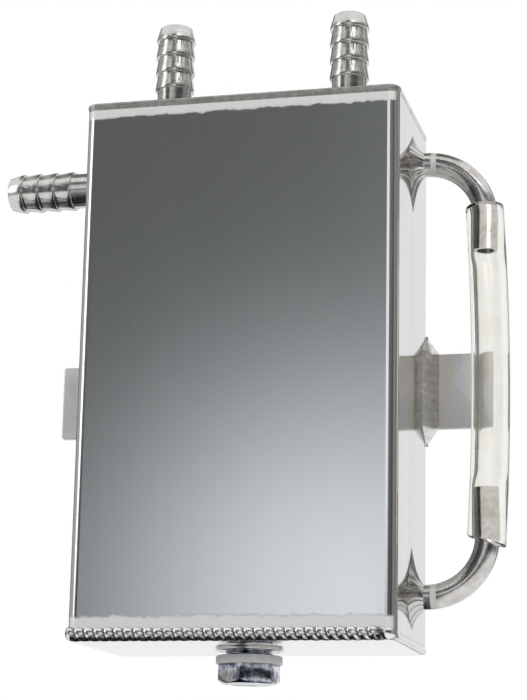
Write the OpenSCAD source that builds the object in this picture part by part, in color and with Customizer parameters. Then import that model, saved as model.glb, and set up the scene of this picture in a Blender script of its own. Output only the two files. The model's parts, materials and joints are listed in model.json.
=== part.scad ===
// Welded aluminium catch tank with hose barbs, a side sight tube, mounting tabs and a drain plug.
// Origin: in the back plane of the two tabs, midway between them. X to the right seen from
// the front, Y back towards the panel that holds the tank, Z up. Millimetres.

/* [Tank shell] */
// Width of the tank over its side walls
tank_w = 120; // [90:1:180]
// Depth of the tank, front face to back face
tank_d = 64; // [50:1:110]
// Height of the tank over its end plates
tank_h = 203; // [190:1:280]
// Height of the tank's middle above the middle of the tabs
tank_rise = 1; // [-5:0.5:5]
// Distance that the tank's back face stands in front of the tabs' back plane
back_clear = 1.5; // [1.4:0.1:2.5]
// Thickness of the shell wall
wall_t = 2; // [1.5:0.1:3]
// Outside radius of the four upright bends
bend_r = 4; // [3.5:0.5:8]
// Thickness of the top and bottom plates
plate_t = 3; // [2:0.1:5]
// Distance that the edge of an end plate is set in from the shell's outer face
plate_inset = 1; // [0.4:0.1:1.4]

/* [Rim welds] */
// Distance that a rim weld reaches onto the shell past the plate
rim_lap = 1.8; // [0.8:0.1:3]
// Distance that a rim weld reaches onto the plate's outer face
rim_toe = 1.4; // [0.6:0.1:1.8]
// Length of one weld ripple
ripple_pitch = 3.7; // [3:0.1:6]
// Distance that the middle of a ripple runs ahead of its edges
ripple_lead = 1.6; // [0.5:0.1:2.4]

/* [Hose barbs] */
// Distance of each top barb from the tank's middle
top_barb_x = 35; // [20:1:40]
// Distance of the side barb below the top of the tank
side_barb_drop = 24; // [18:0.5:40]
// Length of a barb outside the tank
barb_len = 40.5; // [38:0.5:60]
// Radius over the crests of the teeth
crest_r = 7.6; // [7:0.1:9]
// Radius of the barb between its teeth
root_r = 6.7; // [6:0.1:6.9]
// Radius of the barb at its tip
tip_r = 6.3; // [5.8:0.1:6.5]
// Radius of the bore
barb_bore_r = 5.2; // [4:0.1:5.5]
// Distance from one tooth to the next
tooth_pitch = 6.75; // [5:0.25:7.5]
// Distance from the last tooth to the tip
tip_len = 5.8; // [4:0.1:7]
// Width of the flat on the crest of a tooth
crest_land = 0.8; // [0.6:0.1:1.2]
// Number of teeth on a barb
teeth = 4; // [3:1:4]
// Length of the barb's end inside the tank
barb_inside = 2; // [1:0.5:4]
// Length of the chamfer in the mouth of the bore
mouth_chamfer = 0.5; // [0.2:0.1:0.8]

/* [Sight tube] */
// Distance of the upper elbow's mouth below the top of the tank
upper_elbow_drop = 21.7; // [18:0.1:30]
// Distance of the lower elbow's mouth above the bottom of the tank
lower_elbow_rise = 18.1; // [17:0.1:30]
// Outside radius of the elbow tube
elbow_r = 4.5; // [4:0.1:5.5]
// Inside radius of the elbow tube
elbow_bore_r = 3.2; // [2.5:0.1:3.5]
// Radius of the elbow's bend at its centre line
elbow_bend_r = 17.5; // [14:0.5:20]
// Distance from the tank wall to the centre line of the upright legs
elbow_reach = 27.5; // [26:0.5:34]
// Length of the straight upright leg of the upper elbow
upper_leg = 17.5; // [12:0.5:26]
// Length of the straight upright leg of the lower elbow
lower_leg = 21.7; // [12:0.1:26]
// Length of an elbow inside the tank
elbow_inside = 3; // [1:0.5:5]
// Outside radius of the clear hose
hose_r = 7.1; // [6.6:0.1:8]
// Distance that the middle of the hose bows away from the tank
hose_bow = 2; // [1:0.1:4]
// Distance that the ends of the hose sit inwards of the legs' centre line
hose_end_set = 0.5; // [0:0.1:0.8]
// Slope of the hose's lower cut, in degrees
hose_trim_angle = 12; // [0:1:18]

/* [Mounting tabs] */
// Length of a tab outside the tank
tab_len = 27; // [20:1:45]
// Height of a tab
tab_h = 29; // [22:1:45]
// Thickness of a tab
tab_t = 3; // [2.5:0.1:5]
// Radius of the tab's outer corners
tab_corner_r = 1; // [0.5:0.1:4]

/* [Fillet welds] */
// Reach of a tab weld along the tab
tab_weld_x = 5; // [3:0.1:8]
// Reach of a tab weld forwards along the tank wall
tab_weld_y = 10; // [5:0.5:16]
// Distance that a tab weld runs past the top and bottom of its tab
tab_weld_past = 7; // [3:0.5:12]
// Reach of an elbow weld over the wall and along the tube
elbow_weld = 4.8; // [3:0.1:6]
// Reach of a barb weld over the plate and along the barb
barb_weld = 3.6; // [2:0.1:5]

/* [Baffle] */
// Distance of the baffle below the top of the tank
baffle_drop = 56.5; // [46:0.5:80]
// Thickness of the baffle sheet
baffle_t = 1.5; // [1:0.1:3]
// Width of the gap that the baffle leaves at the sight tube's side
baffle_gap = 20; // [12:1:40]
// Depth of the folded lip on the baffle's free edge
baffle_lip = 8; // [4:1:16]
// Reach of a tack weld that holds the baffle
tack_leg = 3; // [2:0.5:5]
// Length of a tack weld
tack_len = 10; // [6:1:16]

/* [Drain] */
// Radius of the drain boss's flange
boss_flange_r = 12.4; // [11.8:0.1:16]
// Thickness of the flange below the bottom plate
boss_flange_t = 1; // [0.6:0.1:3]
// Radius of the boss inside the tank
boss_r = 11; // [10:0.1:11.6]
// Length of the boss above the outside of the bottom plate
boss_len = 12; // [9:0.5:16]
// Reach of the weld round the boss inside the tank
boss_weld = 2.5; // [1.5:0.1:4]
// Radius of the plug's threaded shank
shank_r = 8.8; // [8:0.1:9.4]
// Length of the shank above the head
shank_len = 12; // [9:0.5:15]
// Radius of the sealing washer
washer_r = 12.2; // [11.7:0.1:14]
// Thickness of the sealing washer
washer_t = 3; // [1.5:0.1:4]
// Distance between the flats of the hexagon head
hex_flats = 20; // [18:0.5:23]
// Height of the hexagon head
hex_h = 7.1; // [5:0.1:12]
// Lead of the plug's thread for one turn
thread_pitch = 1.5; // [1:0.25:2]
// Turns by which the plug stands unscrewed, as shown
open_turns = 1.25; // [0:0.25:2]
// Angle of the hexagon as shown, in degrees
hex_turn = 27; // [0:1:59]

/* [Hidden] */

// Colours of the finishes
ALUMINIUM = "#c9cccd";
BRUSHED = "#9ea4a6";
TURNED = "#b9bcbd";
WELD = "#a9abab";
CLEAR = [0.93, 0.95, 0.88, 0.45];
ZINC = "#b4bcc4";
NYLON = "#bcbfc2";

// Finish of true round surfaces
$fn = 96;
// Overrun of every cut past the face that it opens
cut = 1;
// Running clearance round the plug's shank
shank_clear = 0.05;
// Space left under the washer when the plug is screwed home
seat_clear = 0.025;

// Places worked out from the sizes above
half_w = tank_w / 2;
half_d = tank_d / 2;
half_h = tank_h / 2;
tank_y = -back_clear - half_d;
top_z = tank_rise + half_h;
bottom_z = tank_rise - half_h;
side_barb_z = top_z - side_barb_drop;
upper_elbow_z = top_z - upper_elbow_drop;
lower_elbow_z = bottom_z + lower_elbow_rise;
baffle_z = top_z - baffle_drop;
inside_w = tank_w - 2 * wall_t;
inside_d = tank_d - 2 * wall_t;
inner_bend_r = bend_r - wall_t;
leg_x = half_w + elbow_reach;
hose_top_z = upper_elbow_z - elbow_bend_r;
hose_bottom_z = lower_elbow_z + elbow_bend_r;
hose_span = hose_top_z - hose_bottom_z;
hose_mid_z = (hose_top_z + hose_bottom_z) / 2;
hose_curve_r = (hose_span * hose_span / 4 + hose_bow * hose_bow) / (2 * hose_bow);
hose_half_angle = asin(hose_span / 2 / hose_curve_r);
hose_trim_drop = hose_r * tan(hose_trim_angle);
flange_z = bottom_z - boss_flange_t;
washer_top_z = flange_z - seat_clear - open_turns * thread_pitch;
head_top_z = washer_top_z - washer_t;
hex_corner_r = hex_flats / 2 / cos(30);
hex_face_share = 0.94;
hex_cone_share = 1.05;

// Weld form: shares of the reach, of a ripple's length, and of the bulge in a ripple's valley
crown_shares = [0.2, 0.4, 0.6, 0.8];
fillet_shares = [0.3, 0.65];
peak_share = 0.4;
valley_share = 0.55;
hollow_share = 0.42;
rim_bulge_x_share = 1.35;
rim_bulge_z_share = 0.85;
tip_share = 0.14;
slack_share = 0.001;

// A rounded rectangle centred on the tank's axis
module tank_outline(inset, r) {
    w = tank_w - 2 * (inset + r);
    d = tank_d - 2 * (inset + r);
    translate([0, tank_y]) {
        square([w, d + 2 * r], center = true);
        square([w + 2 * r, d], center = true);
        for (x = [-w / 2, w / 2], y = [-d / 2, d / 2])
            translate([x, y]) circle(r);
    }
}

// Point on a curve bent from a to c towards b
function bend_between(a, b, c, t) = (1 - t) * (1 - t) * a + 2 * t * (1 - t) * b + t * t * c;

// How far across a weld a crown point runs ahead: none at the edges, all in the middle
function lead_at(t) = 4 * t * (1 - t) * ripple_lead;

// Bulge of a ripple at its valley (k = 0) and at its peak (k = 1)
function swell(k) = k == 0 ? valley_share : 1;

// Two triangles for each face between neighbouring rings
function ring_faces(i, k, n) = [for (j = [0 : n - 1]) let (m = (j + 1) % n)
    each [[i * n + j, i * n + m, k * n + m], [i * n + j, k * n + m, k * n + j]]];

// A closed loop of rings, such as a weld all the way round
module ring_loop(rings) {
    n = len(rings[0]);
    count = len(rings);
    polyhedron([for (r = rings) each r],
        [for (i = [0 : count - 1]) each ring_faces(i, (i + 1) % count, n)]);
}

// A row of rings with closed ends, such as a straight weld
module ring_row(rings) {
    n = len(rings[0]);
    count = len(rings);
    polyhedron([for (r = rings) each r], concat(
        [for (i = [0 : count - 2]) each ring_faces(i, i + 1, n)],
        [for (j = [1 : n - 2]) each [[0, j + 1, j], [0, j, j + 1] + [1, 1, 1] * (count - 1) * n]]));
}

// The rim is walked along the shell's edge, anticlockwise from the left end of the front
front_run = tank_w - 2 * bend_r;
side_run = tank_d - 2 * bend_r;
bend_run = PI / 2 * bend_r;
rim_run = 2 * front_run + 2 * side_run + 4 * bend_run;
rim_slack = ripple_pitch * slack_share;
bend_ripples = 2;
bend_mitre = cos(90 / bend_ripples * (1 - peak_share) / 2);

function turned(p, a) = [p[0] * cos(a) - p[1] * sin(a), p[0] * sin(a) + p[1] * cos(a)];

// Point a distance s along the rim and u outside the shell's face
function rim_point(s, u, side = 0) =
    s < -rim_slack ? rim_point(s + rim_run, u) :
    let (
        run = side % 2 == 0 ? front_run : side_run,
        h = side % 2 == 0 ? half_d : half_w
    )
    s < run + rim_slack ? turned([s - run / 2, -h - u], 90 * side) :
    s < run + bend_run - rim_slack ?
        let (a = (s - run) / bend_r * 180 / PI, r = (bend_r + u) / bend_mitre)
        turned([run / 2 + r * sin(a), bend_r - h - r * cos(a)], 90 * side) :
    rim_point(s - run - bend_run, u, (side + 1) % 4);

// Starts of the rings along one stretch of the rim
function stretch_rings(start, run, count) =
    [for (i = [0 : count - 1], k = [0, 1]) [start + (i + k * peak_share) * run / count, k]];
rim_rings = concat(
    stretch_rings(0, front_run, round(front_run / ripple_pitch)),
    stretch_rings(front_run, bend_run, bend_ripples),
    stretch_rings(front_run + bend_run, side_run, round(side_run / ripple_pitch)),
    stretch_rings(front_run + bend_run + side_run, bend_run, bend_ripples),
    stretch_rings(rim_run / 2, front_run, round(front_run / ripple_pitch)),
    stretch_rings(rim_run / 2 + front_run, bend_run, bend_ripples),
    stretch_rings(rim_run / 2 + front_run + bend_run, side_run, round(side_run / ripple_pitch)),
    stretch_rings(rim_run - bend_run, bend_run, bend_ripples));

// Section of a rim weld as [outwards from the shell, inwards from the plate's face, lead]
function rim_section(k) =
    let (
        wall_toe = [0, plate_t + rim_lap],
        plate_toe = [-plate_inset - rim_toe, 0],
        bulge = [rim_bulge_x_share * plate_toe[0], rim_bulge_z_share * plate_t] * -swell(k)
    )
    concat(
        [[wall_toe[0], wall_toe[1], 0], [0, plate_t, 0], [-plate_inset, plate_t, 0],
            [-plate_inset, 0, 0], [plate_toe[0], plate_toe[1], 0]],
        [for (t = crown_shares) let (p = bend_between(plate_toe, bulge, wall_toe, t))
            [p[0], p[1], lead_at(t)]]);

// The weld round the rim of one end plate; its section is laid inwards from the plate's face
module rim_weld() {
    ring_loop([for (ring = rim_rings)
        [for (p = rim_section(ring[1])) let (q = rim_point(ring[0] - p[2], p[0])) [q[0], q[1], p[1]]]]);
}

// A fillet weld round a tube that leaves a flat face, the face at z = 0
module tube_weld(tube_r, leg) {
    count = round(2 * PI * (tube_r + leg / 2) / ripple_pitch);
    mitre = cos(180 / count * (1 - peak_share));
    turn_per_length = 180 / PI / (tube_r + leg / 2);
    function section(k) = concat([[0, 0, 0], [leg, 0, 0]],
        [for (t = fillet_shares)
            let (p = bend_between([leg, 0], [1, 1] * hollow_share * leg * swell(k), [0, leg], t))
            [p[0], p[1], lead_at(t)]],
        [[0, leg, 0]]);
    ring_loop([for (i = [0 : count - 1], k = [0, 1])
        let (a = 360 * (i + k * peak_share) / count)
        [for (p = section(k)) let (r = (tube_r + p[0]) / mitre, b = a - p[2] * turn_per_length)
            [r * cos(b), r * sin(b), p[1]]]]);
}

module tank_shell() {
    color(BRUSHED) difference() {
        translate([0, 0, bottom_z + plate_t]) linear_extrude(tank_h - 2 * plate_t) difference() {
            tank_outline(0, bend_r);
            tank_outline(wall_t, inner_bend_r);
        }
        translate([-half_w - cut, tank_y, side_barb_z]) rotate([0, 90, 0])
            cylinder(r = root_r, h = wall_t + 2 * cut);
        for (z = [upper_elbow_z, lower_elbow_z])
            translate([half_w - wall_t - cut, tank_y, z]) rotate([0, 90, 0])
                cylinder(r = elbow_r, h = wall_t + 2 * cut);
    }
}

// An end plate with its lower face at z = 0
module end_plate() {
    linear_extrude(plate_t) tank_outline(plate_inset, bend_r - plate_inset);
}

module top_plate() {
    color(ALUMINIUM) translate([0, 0, top_z - plate_t]) difference() {
        end_plate();
        for (x = [-top_barb_x, top_barb_x])
            translate([x, tank_y, -cut]) cylinder(r = root_r, h = plate_t + 2 * cut);
    }
}

module bottom_plate() {
    color(ALUMINIUM) translate([0, 0, bottom_z]) difference() {
        end_plate();
        translate([0, tank_y, -cut]) cylinder(r = boss_r, h = plate_t + 2 * cut);
    }
}

module top_weld() {
    color(WELD) translate([0, tank_y, top_z]) mirror([0, 0, 1]) rim_weld();
}

module bottom_weld() {
    color(WELD) translate([0, tank_y, bottom_z]) rim_weld();
}

// Folded sheet that turns the flow; oil drains through the gap at its free edge
module baffle_plate() {
    left = -inside_w / 2;
    free_edge = inside_w / 2 - baffle_gap;
    color(ALUMINIUM) translate([left, tank_y - inside_d / 2, baffle_z]) {
        cube([free_edge - left, inside_d, baffle_t]);
        translate([free_edge - left - baffle_t, 0, -baffle_lip]) cube([baffle_t, inside_d, baffle_lip]);
    }
}

// Four short fillets under the baffle, two on the front wall and two on the back wall
module baffle_tacks() {
    x = inside_w / 4;
    color(WELD) for (side = [-1, 1], place = [-x, 0])
        translate([place, tank_y + side * inside_d / 2, baffle_z]) rotate([0, 90, 0])
            linear_extrude(tack_len) polygon([[0, 0], [tack_leg, 0], [0, -side * tack_leg]]);
}

// A hose barb along +Z, with the outer face of the wall that holds it at z = 0
module barb(wall) {
    inner_end = -wall - barb_inside;
    first_tooth = barb_len - tip_len - (teeth - 1) * tooth_pitch;
    rotate_extrude() polygon(concat(
        [[barb_bore_r, inner_end], [root_r, inner_end]],
        [for (i = [0 : teeth - 1]) let (z = first_tooth + i * tooth_pitch)
            each [[root_r, z], [crest_r, z], [crest_r, z + crest_land]]],
        [[tip_r, barb_len], [barb_bore_r + mouth_chamfer, barb_len],
            [barb_bore_r, barb_len - mouth_chamfer]]));
}

module at_top_barb(side) {
    translate([side * top_barb_x, tank_y, top_z]) children();
}

module at_side_barb() {
    translate([-half_w, tank_y, side_barb_z]) rotate([0, -90, 0]) children();
}

module left_top_barb() {
    color(TURNED) at_top_barb(-1) barb(plate_t);
}

module right_top_barb() {
    color(TURNED) at_top_barb(1) barb(plate_t);
}

module side_barb() {
    color(TURNED) at_side_barb() barb(wall_t);
}

module left_top_barb_weld() {
    color(WELD) at_top_barb(-1) tube_weld(root_r, barb_weld);
}

module right_top_barb_weld() {
    color(WELD) at_top_barb(1) tube_weld(root_r, barb_weld);
}

module side_barb_weld() {
    color(WELD) at_side_barb() tube_weld(root_r, barb_weld);
}

// Solid rod of the elbow's shape: out of the wall along +X, then bent to run a leg along +Z
module elbow_rod(r, leg, over) {
    straight = elbow_reach - elbow_bend_r;
    translate([-wall_t - elbow_inside - over, 0, 0]) rotate([0, 90, 0])
        cylinder(r = r, h = wall_t + elbow_inside + over + straight);
    translate([straight, 0, elbow_bend_r]) rotate([90, 0, 0]) rotate_extrude(angle = 90, start = -90)
        translate([elbow_bend_r, 0]) circle(r);
    translate([elbow_reach, 0, elbow_bend_r]) cylinder(r = r, h = leg + over);
}

module elbow(leg) {
    difference() {
        elbow_rod(elbow_r, leg, 0);
        elbow_rod(elbow_bore_r, leg, cut);
    }
}

module at_elbow(z, up) {
    translate([half_w, tank_y, z]) mirror([0, 0, up ? 0 : 1]) children();
}

module upper_elbow() {
    color(ALUMINIUM) at_elbow(upper_elbow_z, false) elbow(upper_leg);
}

module lower_elbow() {
    color(ALUMINIUM) at_elbow(lower_elbow_z, true) elbow(lower_leg);
}

module upper_elbow_weld() {
    color(WELD) at_elbow(upper_elbow_z, false) rotate([0, 90, 0]) tube_weld(elbow_r, elbow_weld);
}

module lower_elbow_weld() {
    color(WELD) at_elbow(lower_elbow_z, true) rotate([0, 90, 0]) tube_weld(elbow_r, elbow_weld);
}

// Clear hose bowed between the elbows; its ends take the straight legs
module sight_hose() {
    end_x = leg_x - hose_end_set;
    color(CLEAR) difference() {
        translate([end_x + hose_bow - hose_curve_r, tank_y, hose_mid_z]) rotate([90, 0, 0])
            rotate_extrude(angle = 2 * hose_half_angle, start = -hose_half_angle, $fn = 360)
                translate([hose_curve_r, 0]) difference() {
                    circle(hose_r, $fn = 96);
                    circle(elbow_r, $fn = 96);
                }
        translate([leg_x, tank_y, hose_top_z - upper_leg]) cylinder(r = elbow_r, h = upper_leg + cut);
        translate([leg_x, tank_y, hose_bottom_z - cut]) cylinder(r = elbow_r, h = lower_leg + cut);
        translate([leg_x - hose_r, tank_y, hose_bottom_z + hose_trim_drop]) rotate([0, hose_trim_angle, 0])
            translate([-2 * hose_r, -2 * hose_r, -4 * hose_r]) cube(4 * hose_r);
    }
}

// A flat tab that butts against the tank's rear bend, on the right-hand side
module tab_blank() {
    difference() {
        translate([half_w - bend_r, 0, 0]) rotate([90, 0, 0]) linear_extrude(tab_t) {
            translate([0, -tab_h / 2]) square([bend_r + tab_len - tab_corner_r, tab_h]);
            translate([0, tab_corner_r - tab_h / 2])
                square([bend_r + tab_len, tab_h - 2 * tab_corner_r]);
            for (z = [-1, 1]) translate([bend_r + tab_len - tab_corner_r, z * (tab_h / 2 - tab_corner_r)])
                circle(tab_corner_r);
        }
        translate([0, 0, -tab_h]) linear_extrude(2 * tab_h) tank_outline(0, bend_r);
    }
}

module left_tab() {
    color(ALUMINIUM) mirror([1, 0, 0]) tab_blank();
}

module right_tab() {
    color(ALUMINIUM) tab_blank();
}

// Fillet in front of a right-hand tab, pointed at its ends
module tab_fillet() {
    half_run = tab_h / 2 + tab_weld_past;
    count = round(2 * half_run / ripple_pitch);
    function taper(z) = max(tip_share, min(1, (half_run - abs(z)) / tab_weld_past));
    function section(z, k) =
        let (x = tab_weld_x * taper(z), y = -tab_weld_y * taper(z))
        concat([[0, 0, 0]], [[0, y, 0]],
            [for (t = fillet_shares)
                let (p = bend_between([0, y], [x, y] * hollow_share * swell(k), [x, 0], t))
                [p[0], p[1], lead_at(t) * taper(z)]],
            [[x, 0, 0]]);
    translate([half_w, -tab_t, 0]) ring_row([for (i = [0 : count - 1], k = [0, 1])
        let (z = half_run * (2 * (i + k * peak_share) / (count - 1 + peak_share) - 1))
        [for (p = section(z, k)) [p[0], p[1], z - p[2]]]]);
}

module left_tab_weld() {
    color(WELD) mirror([1, 0, 0]) tab_fillet();
}

module right_tab_weld() {
    color(WELD) tab_fillet();
}

module drain_boss() {
    bore_r = shank_r + shank_clear;
    color(ALUMINIUM) translate([0, tank_y, bottom_z]) difference() {
        union() {
            cylinder(r = boss_r, h = boss_len);
            translate([0, 0, -boss_flange_t]) cylinder(r = boss_flange_r, h = boss_flange_t);
        }
        translate([0, 0, -boss_flange_t - cut]) cylinder(r = bore_r, h = boss_flange_t + boss_len + 2 * cut);
    }
}

module drain_boss_weld() {
    color(WELD) translate([0, tank_y, bottom_z + plate_t]) rotate_extrude()
        polygon([[boss_r, 0], [boss_r + boss_weld, 0], [boss_r, boss_weld]]);
}

module drain_washer() {
    color(NYLON) translate([0, tank_y, head_top_z]) difference() {
        cylinder(r = washer_r, h = washer_t);
        translate([0, 0, -cut]) cylinder(r = shank_r + shank_clear, h = washer_t + 2 * cut);
    }
}

// Hexagon plug; the head's lower corners are turned to a cone
module drain_plug() {
    face_r = hex_flats / 2 * hex_face_share;
    cone_r = hex_corner_r * hex_cone_share;
    cone_h = (cone_r - face_r) * tan(30);
    color(ZINC) translate([0, tank_y, head_top_z]) rotate([0, 0, hex_turn]) {
        cylinder(r = shank_r, h = shank_len);
        intersection() {
            translate([0, 0, -hex_h]) cylinder(r = hex_corner_r, h = hex_h, $fn = 6);
            translate([0, 0, -hex_h]) rotate_extrude() polygon([[0, 0], [face_r, 0],
                [cone_r, cone_h], [cone_r, hex_h], [0, hex_h]]);
        }
    }
}

tank_shell();
top_plate();
bottom_plate();
top_weld();
bottom_weld();
baffle_plate();
baffle_tacks();
left_top_barb();
right_top_barb();
side_barb();
left_top_barb_weld();
right_top_barb_weld();
side_barb_weld();
upper_elbow();
lower_elbow();
upper_elbow_weld();
lower_elbow_weld();
sight_hose();
left_tab();
right_tab();
left_tab_weld();
right_tab_weld();
drain_boss();
drain_boss_weld();
drain_washer();
drain_plug();
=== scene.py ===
"""Looks of a welded aluminium catch tank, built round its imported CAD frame."""

import json
import logging
import math
from dataclasses import dataclass, field
from enum import Enum
from typing import Any, Callable, Sequence

import bmesh
import bpy
from mathutils import Matrix, Vector

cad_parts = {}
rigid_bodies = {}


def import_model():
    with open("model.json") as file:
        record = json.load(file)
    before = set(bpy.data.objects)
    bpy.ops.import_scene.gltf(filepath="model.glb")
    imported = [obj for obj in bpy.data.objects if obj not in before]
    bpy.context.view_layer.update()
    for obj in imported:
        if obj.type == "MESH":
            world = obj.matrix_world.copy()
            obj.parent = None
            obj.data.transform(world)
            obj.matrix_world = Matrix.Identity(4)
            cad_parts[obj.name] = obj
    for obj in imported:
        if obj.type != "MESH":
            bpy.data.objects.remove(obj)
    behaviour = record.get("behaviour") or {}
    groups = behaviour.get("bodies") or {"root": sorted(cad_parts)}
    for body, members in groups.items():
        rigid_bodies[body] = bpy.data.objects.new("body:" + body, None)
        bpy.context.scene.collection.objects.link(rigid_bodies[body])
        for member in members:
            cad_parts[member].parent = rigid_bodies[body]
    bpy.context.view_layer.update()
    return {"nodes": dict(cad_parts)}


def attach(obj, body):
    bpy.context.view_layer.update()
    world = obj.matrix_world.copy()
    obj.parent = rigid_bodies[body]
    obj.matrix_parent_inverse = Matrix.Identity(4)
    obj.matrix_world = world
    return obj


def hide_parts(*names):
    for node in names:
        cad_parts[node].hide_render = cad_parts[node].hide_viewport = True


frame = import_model()

Colour = tuple[float, float, float, float]
Point = tuple[float, float, float]

MM = 0.001
FULL_TURN = 2 * math.pi
PHOTO_WIDTH_PX = 527
PHOTO_HEIGHT_PX = 700
MIX_FACTOR, MIX_A, MIX_B, MIX_RESULT = 0, 6, 7, 2

log = logging.getLogger("catch_tank")


class Body(Enum):
    """The CAD bodies that pieces ride on."""

    TANK = "tank"
    WASHER = "washer"
    PLUG = "plug"


class Slot(Enum):
    """The record's material slots."""

    SHEET = "brushed_sheet"
    PLATE = "plate_sheet"
    TAB = "tab_sheet"
    WELD = "weld_metal"
    TURNED = "turned_aluminium"
    TUBE = "tube_aluminium"
    HOSE = "clear_hose"
    ZINC = "zinc_steel"
    WASHER = "grey_washer"


class Axis(Enum):
    """A straight direction that a pattern or a turned piece follows."""

    X = 0
    Y = 1
    Z = 2


# Node trees


class Graph:
    """A node tree being built, with short ways to add nodes and join them."""

    def __init__(self, tree: bpy.types.NodeTree) -> None:
        """Takes the tree that the nodes go into."""
        self.tree = tree

    def feed(self, socket: bpy.types.NodeSocket, value: Any) -> None:
        """Links a socket to another one, or sets its value.

        Args:
            socket: The input to be fed.
            value: An output socket to link from, or a plain value.
        """
        if isinstance(value, bpy.types.NodeSocket):
            self.tree.links.new(value, socket)
        else:
            socket.default_value = value

    def node(self, kind: str, feeds: dict[Any, Any] | None = None, **settings: Any) -> bpy.types.Node:
        """Adds a node.

        Args:
            kind: The node's type name.
            feeds: What goes into its inputs, by name or number.
            **settings: The node's own properties.

        Returns:
            The new node.
        """
        made = self.tree.nodes.new(kind)
        for name, value in settings.items():
            setattr(made, name, value)
        for key, value in (feeds or {}).items():
            self.feed(made.inputs[key], value)
        return made

    def math(self, operation: str, *values: Any) -> bpy.types.NodeSocket:
        """Returns the result of a Math node."""
        return self.node("ShaderNodeMath", dict(enumerate(values)), operation=operation).outputs[0]

    def vector(self, operation: str, *values: Any) -> bpy.types.NodeSocket:
        """Returns the vector result of a Vector Math node."""
        return self.node("ShaderNodeVectorMath", dict(enumerate(values)), operation=operation).outputs[0]

    def stretched(self, value: Any, low: float, high: float, to_low: float = 0.0, to_high: float = 1.0,
                  smooth: bool = True) -> bpy.types.NodeSocket:
        """Maps a range of a value onto another range.

        Args:
            value: The socket that is mapped.
            low: The value that becomes to_low.
            high: The value that becomes to_high.
            to_low: The result at low.
            to_high: The result at high.
            smooth: Whether the change eases in and out.

        Returns:
            The mapped value's socket.
        """
        return self.node(
            "ShaderNodeMapRange",
            {"Value": value, "From Min": low, "From Max": high, "To Min": to_low, "To Max": to_high},
            interpolation_type="SMOOTHSTEP" if smooth else "LINEAR",
        ).outputs[0]

    def blend(self, share: Any, first: Any, second: Any) -> bpy.types.NodeSocket:
        """Returns a colour between two colours."""
        return self.node(
            "ShaderNodeMix", {MIX_FACTOR: share, MIX_A: first, MIX_B: second}, data_type="RGBA"
        ).outputs[MIX_RESULT]

    def group(self, name: str, feeds: dict[str, Any]) -> bpy.types.Node:
        """Adds a shader node group with its own values."""
        made = self.node("ShaderNodeGroup", node_tree=bpy.data.node_groups[name])
        for key, value in feeds.items():
            self.feed(made.inputs[key], value)
        return made


SOCKETS = {"float": "NodeSocketFloat", "int": "NodeSocketInt", "vector": "NodeSocketVector",
           "geometry": "NodeSocketGeometry", "object": "NodeSocketObject", "material": "NodeSocketMaterial"}


def new_group(name: str, kind: str, inputs: Sequence[tuple[str, str, Any]],
              outputs: Sequence[tuple[str, str]]) -> tuple[Graph, Any, bpy.types.Node]:
    """Starts a node group with named inputs and outputs.

    Args:
        name: The group's name.
        kind: ShaderNodeTree or GeometryNodeTree.
        inputs: Name, kind and default of each input.
        outputs: Name and kind of each output.

    Returns:
        The graph, the input node's sockets by name, and the output node.
    """
    tree = bpy.data.node_groups.new(name, kind)
    for label, socket, default in inputs:
        made = tree.interface.new_socket(label, in_out="INPUT", socket_type=SOCKETS[socket])
        if default is not None:
            made.default_value = default
    for label, socket in outputs:
        tree.interface.new_socket(label, in_out="OUTPUT", socket_type=SOCKETS[socket])
    graph = Graph(tree)
    return graph, graph.node("NodeGroupInput").outputs, graph.node("NodeGroupOutput")


# Shared surface effects


def make_drawn_lines() -> None:
    """Builds the group of fine lines left by brushing, rolling or turning."""
    graph, given, out = new_group(
        "drawn_lines", "ShaderNodeTree",
        [("Stretch", "vector", (4000.0, 4000.0, 60.0)), ("Contrast", "float", 1.0)], [("Lines", "float")])
    place = graph.node("ShaderNodeTexCoord").outputs["Object"]
    fine = graph.node("ShaderNodeTexNoise", {"Vector": graph.vector("MULTIPLY", place, given["Stretch"]),
                                             "Scale": 1.0, "Detail": 3.0, "Roughness": 0.7})
    broad = graph.node("ShaderNodeTexNoise", {
        "Vector": graph.vector("MULTIPLY", place, graph.vector("MULTIPLY", given["Stretch"], (0.17,) * 3)),
        "Scale": 1.0, "Detail": 2.0})
    both = graph.math("ADD", graph.math("MULTIPLY", fine.outputs[0], 0.6),
                      graph.math("MULTIPLY", broad.outputs[0], 0.4))
    spread = graph.math("MULTIPLY", graph.math("SUBTRACT", both, 0.5), given["Contrast"])
    lines = graph.node("ShaderNodeClamp", {"Value": graph.math("ADD", graph.math("MULTIPLY", spread, 2.6), 0.5)})
    graph.feed(out.inputs["Lines"], lines.outputs[0])


def make_cloudy_patches() -> None:
    """Builds the group of soft blotches, such as etching, stains and handling marks."""
    graph, given, out = new_group(
        "cloudy_patches", "ShaderNodeTree",
        [("Size", "float", 100.0), ("Start", "float", 0.5), ("Full", "float", 0.65), ("Shift", "float", 0.0)],
        [("Mask", "float")])
    place = graph.vector("ADD", graph.node("ShaderNodeTexCoord").outputs["Object"],
                         graph.node("ShaderNodeCombineXYZ", {"X": given["Shift"]}).outputs[0])
    cloud = graph.node("ShaderNodeTexNoise", {"Vector": place, "Scale": given["Size"], "Detail": 5.0,
                                              "Roughness": 0.62})
    mask = graph.node("ShaderNodeMapRange", {"Value": cloud.outputs[0], "From Min": given["Start"],
                                             "From Max": given["Full"]}, interpolation_type="SMOOTHSTEP")
    graph.feed(out.inputs["Mask"], mask.outputs[0])


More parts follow.
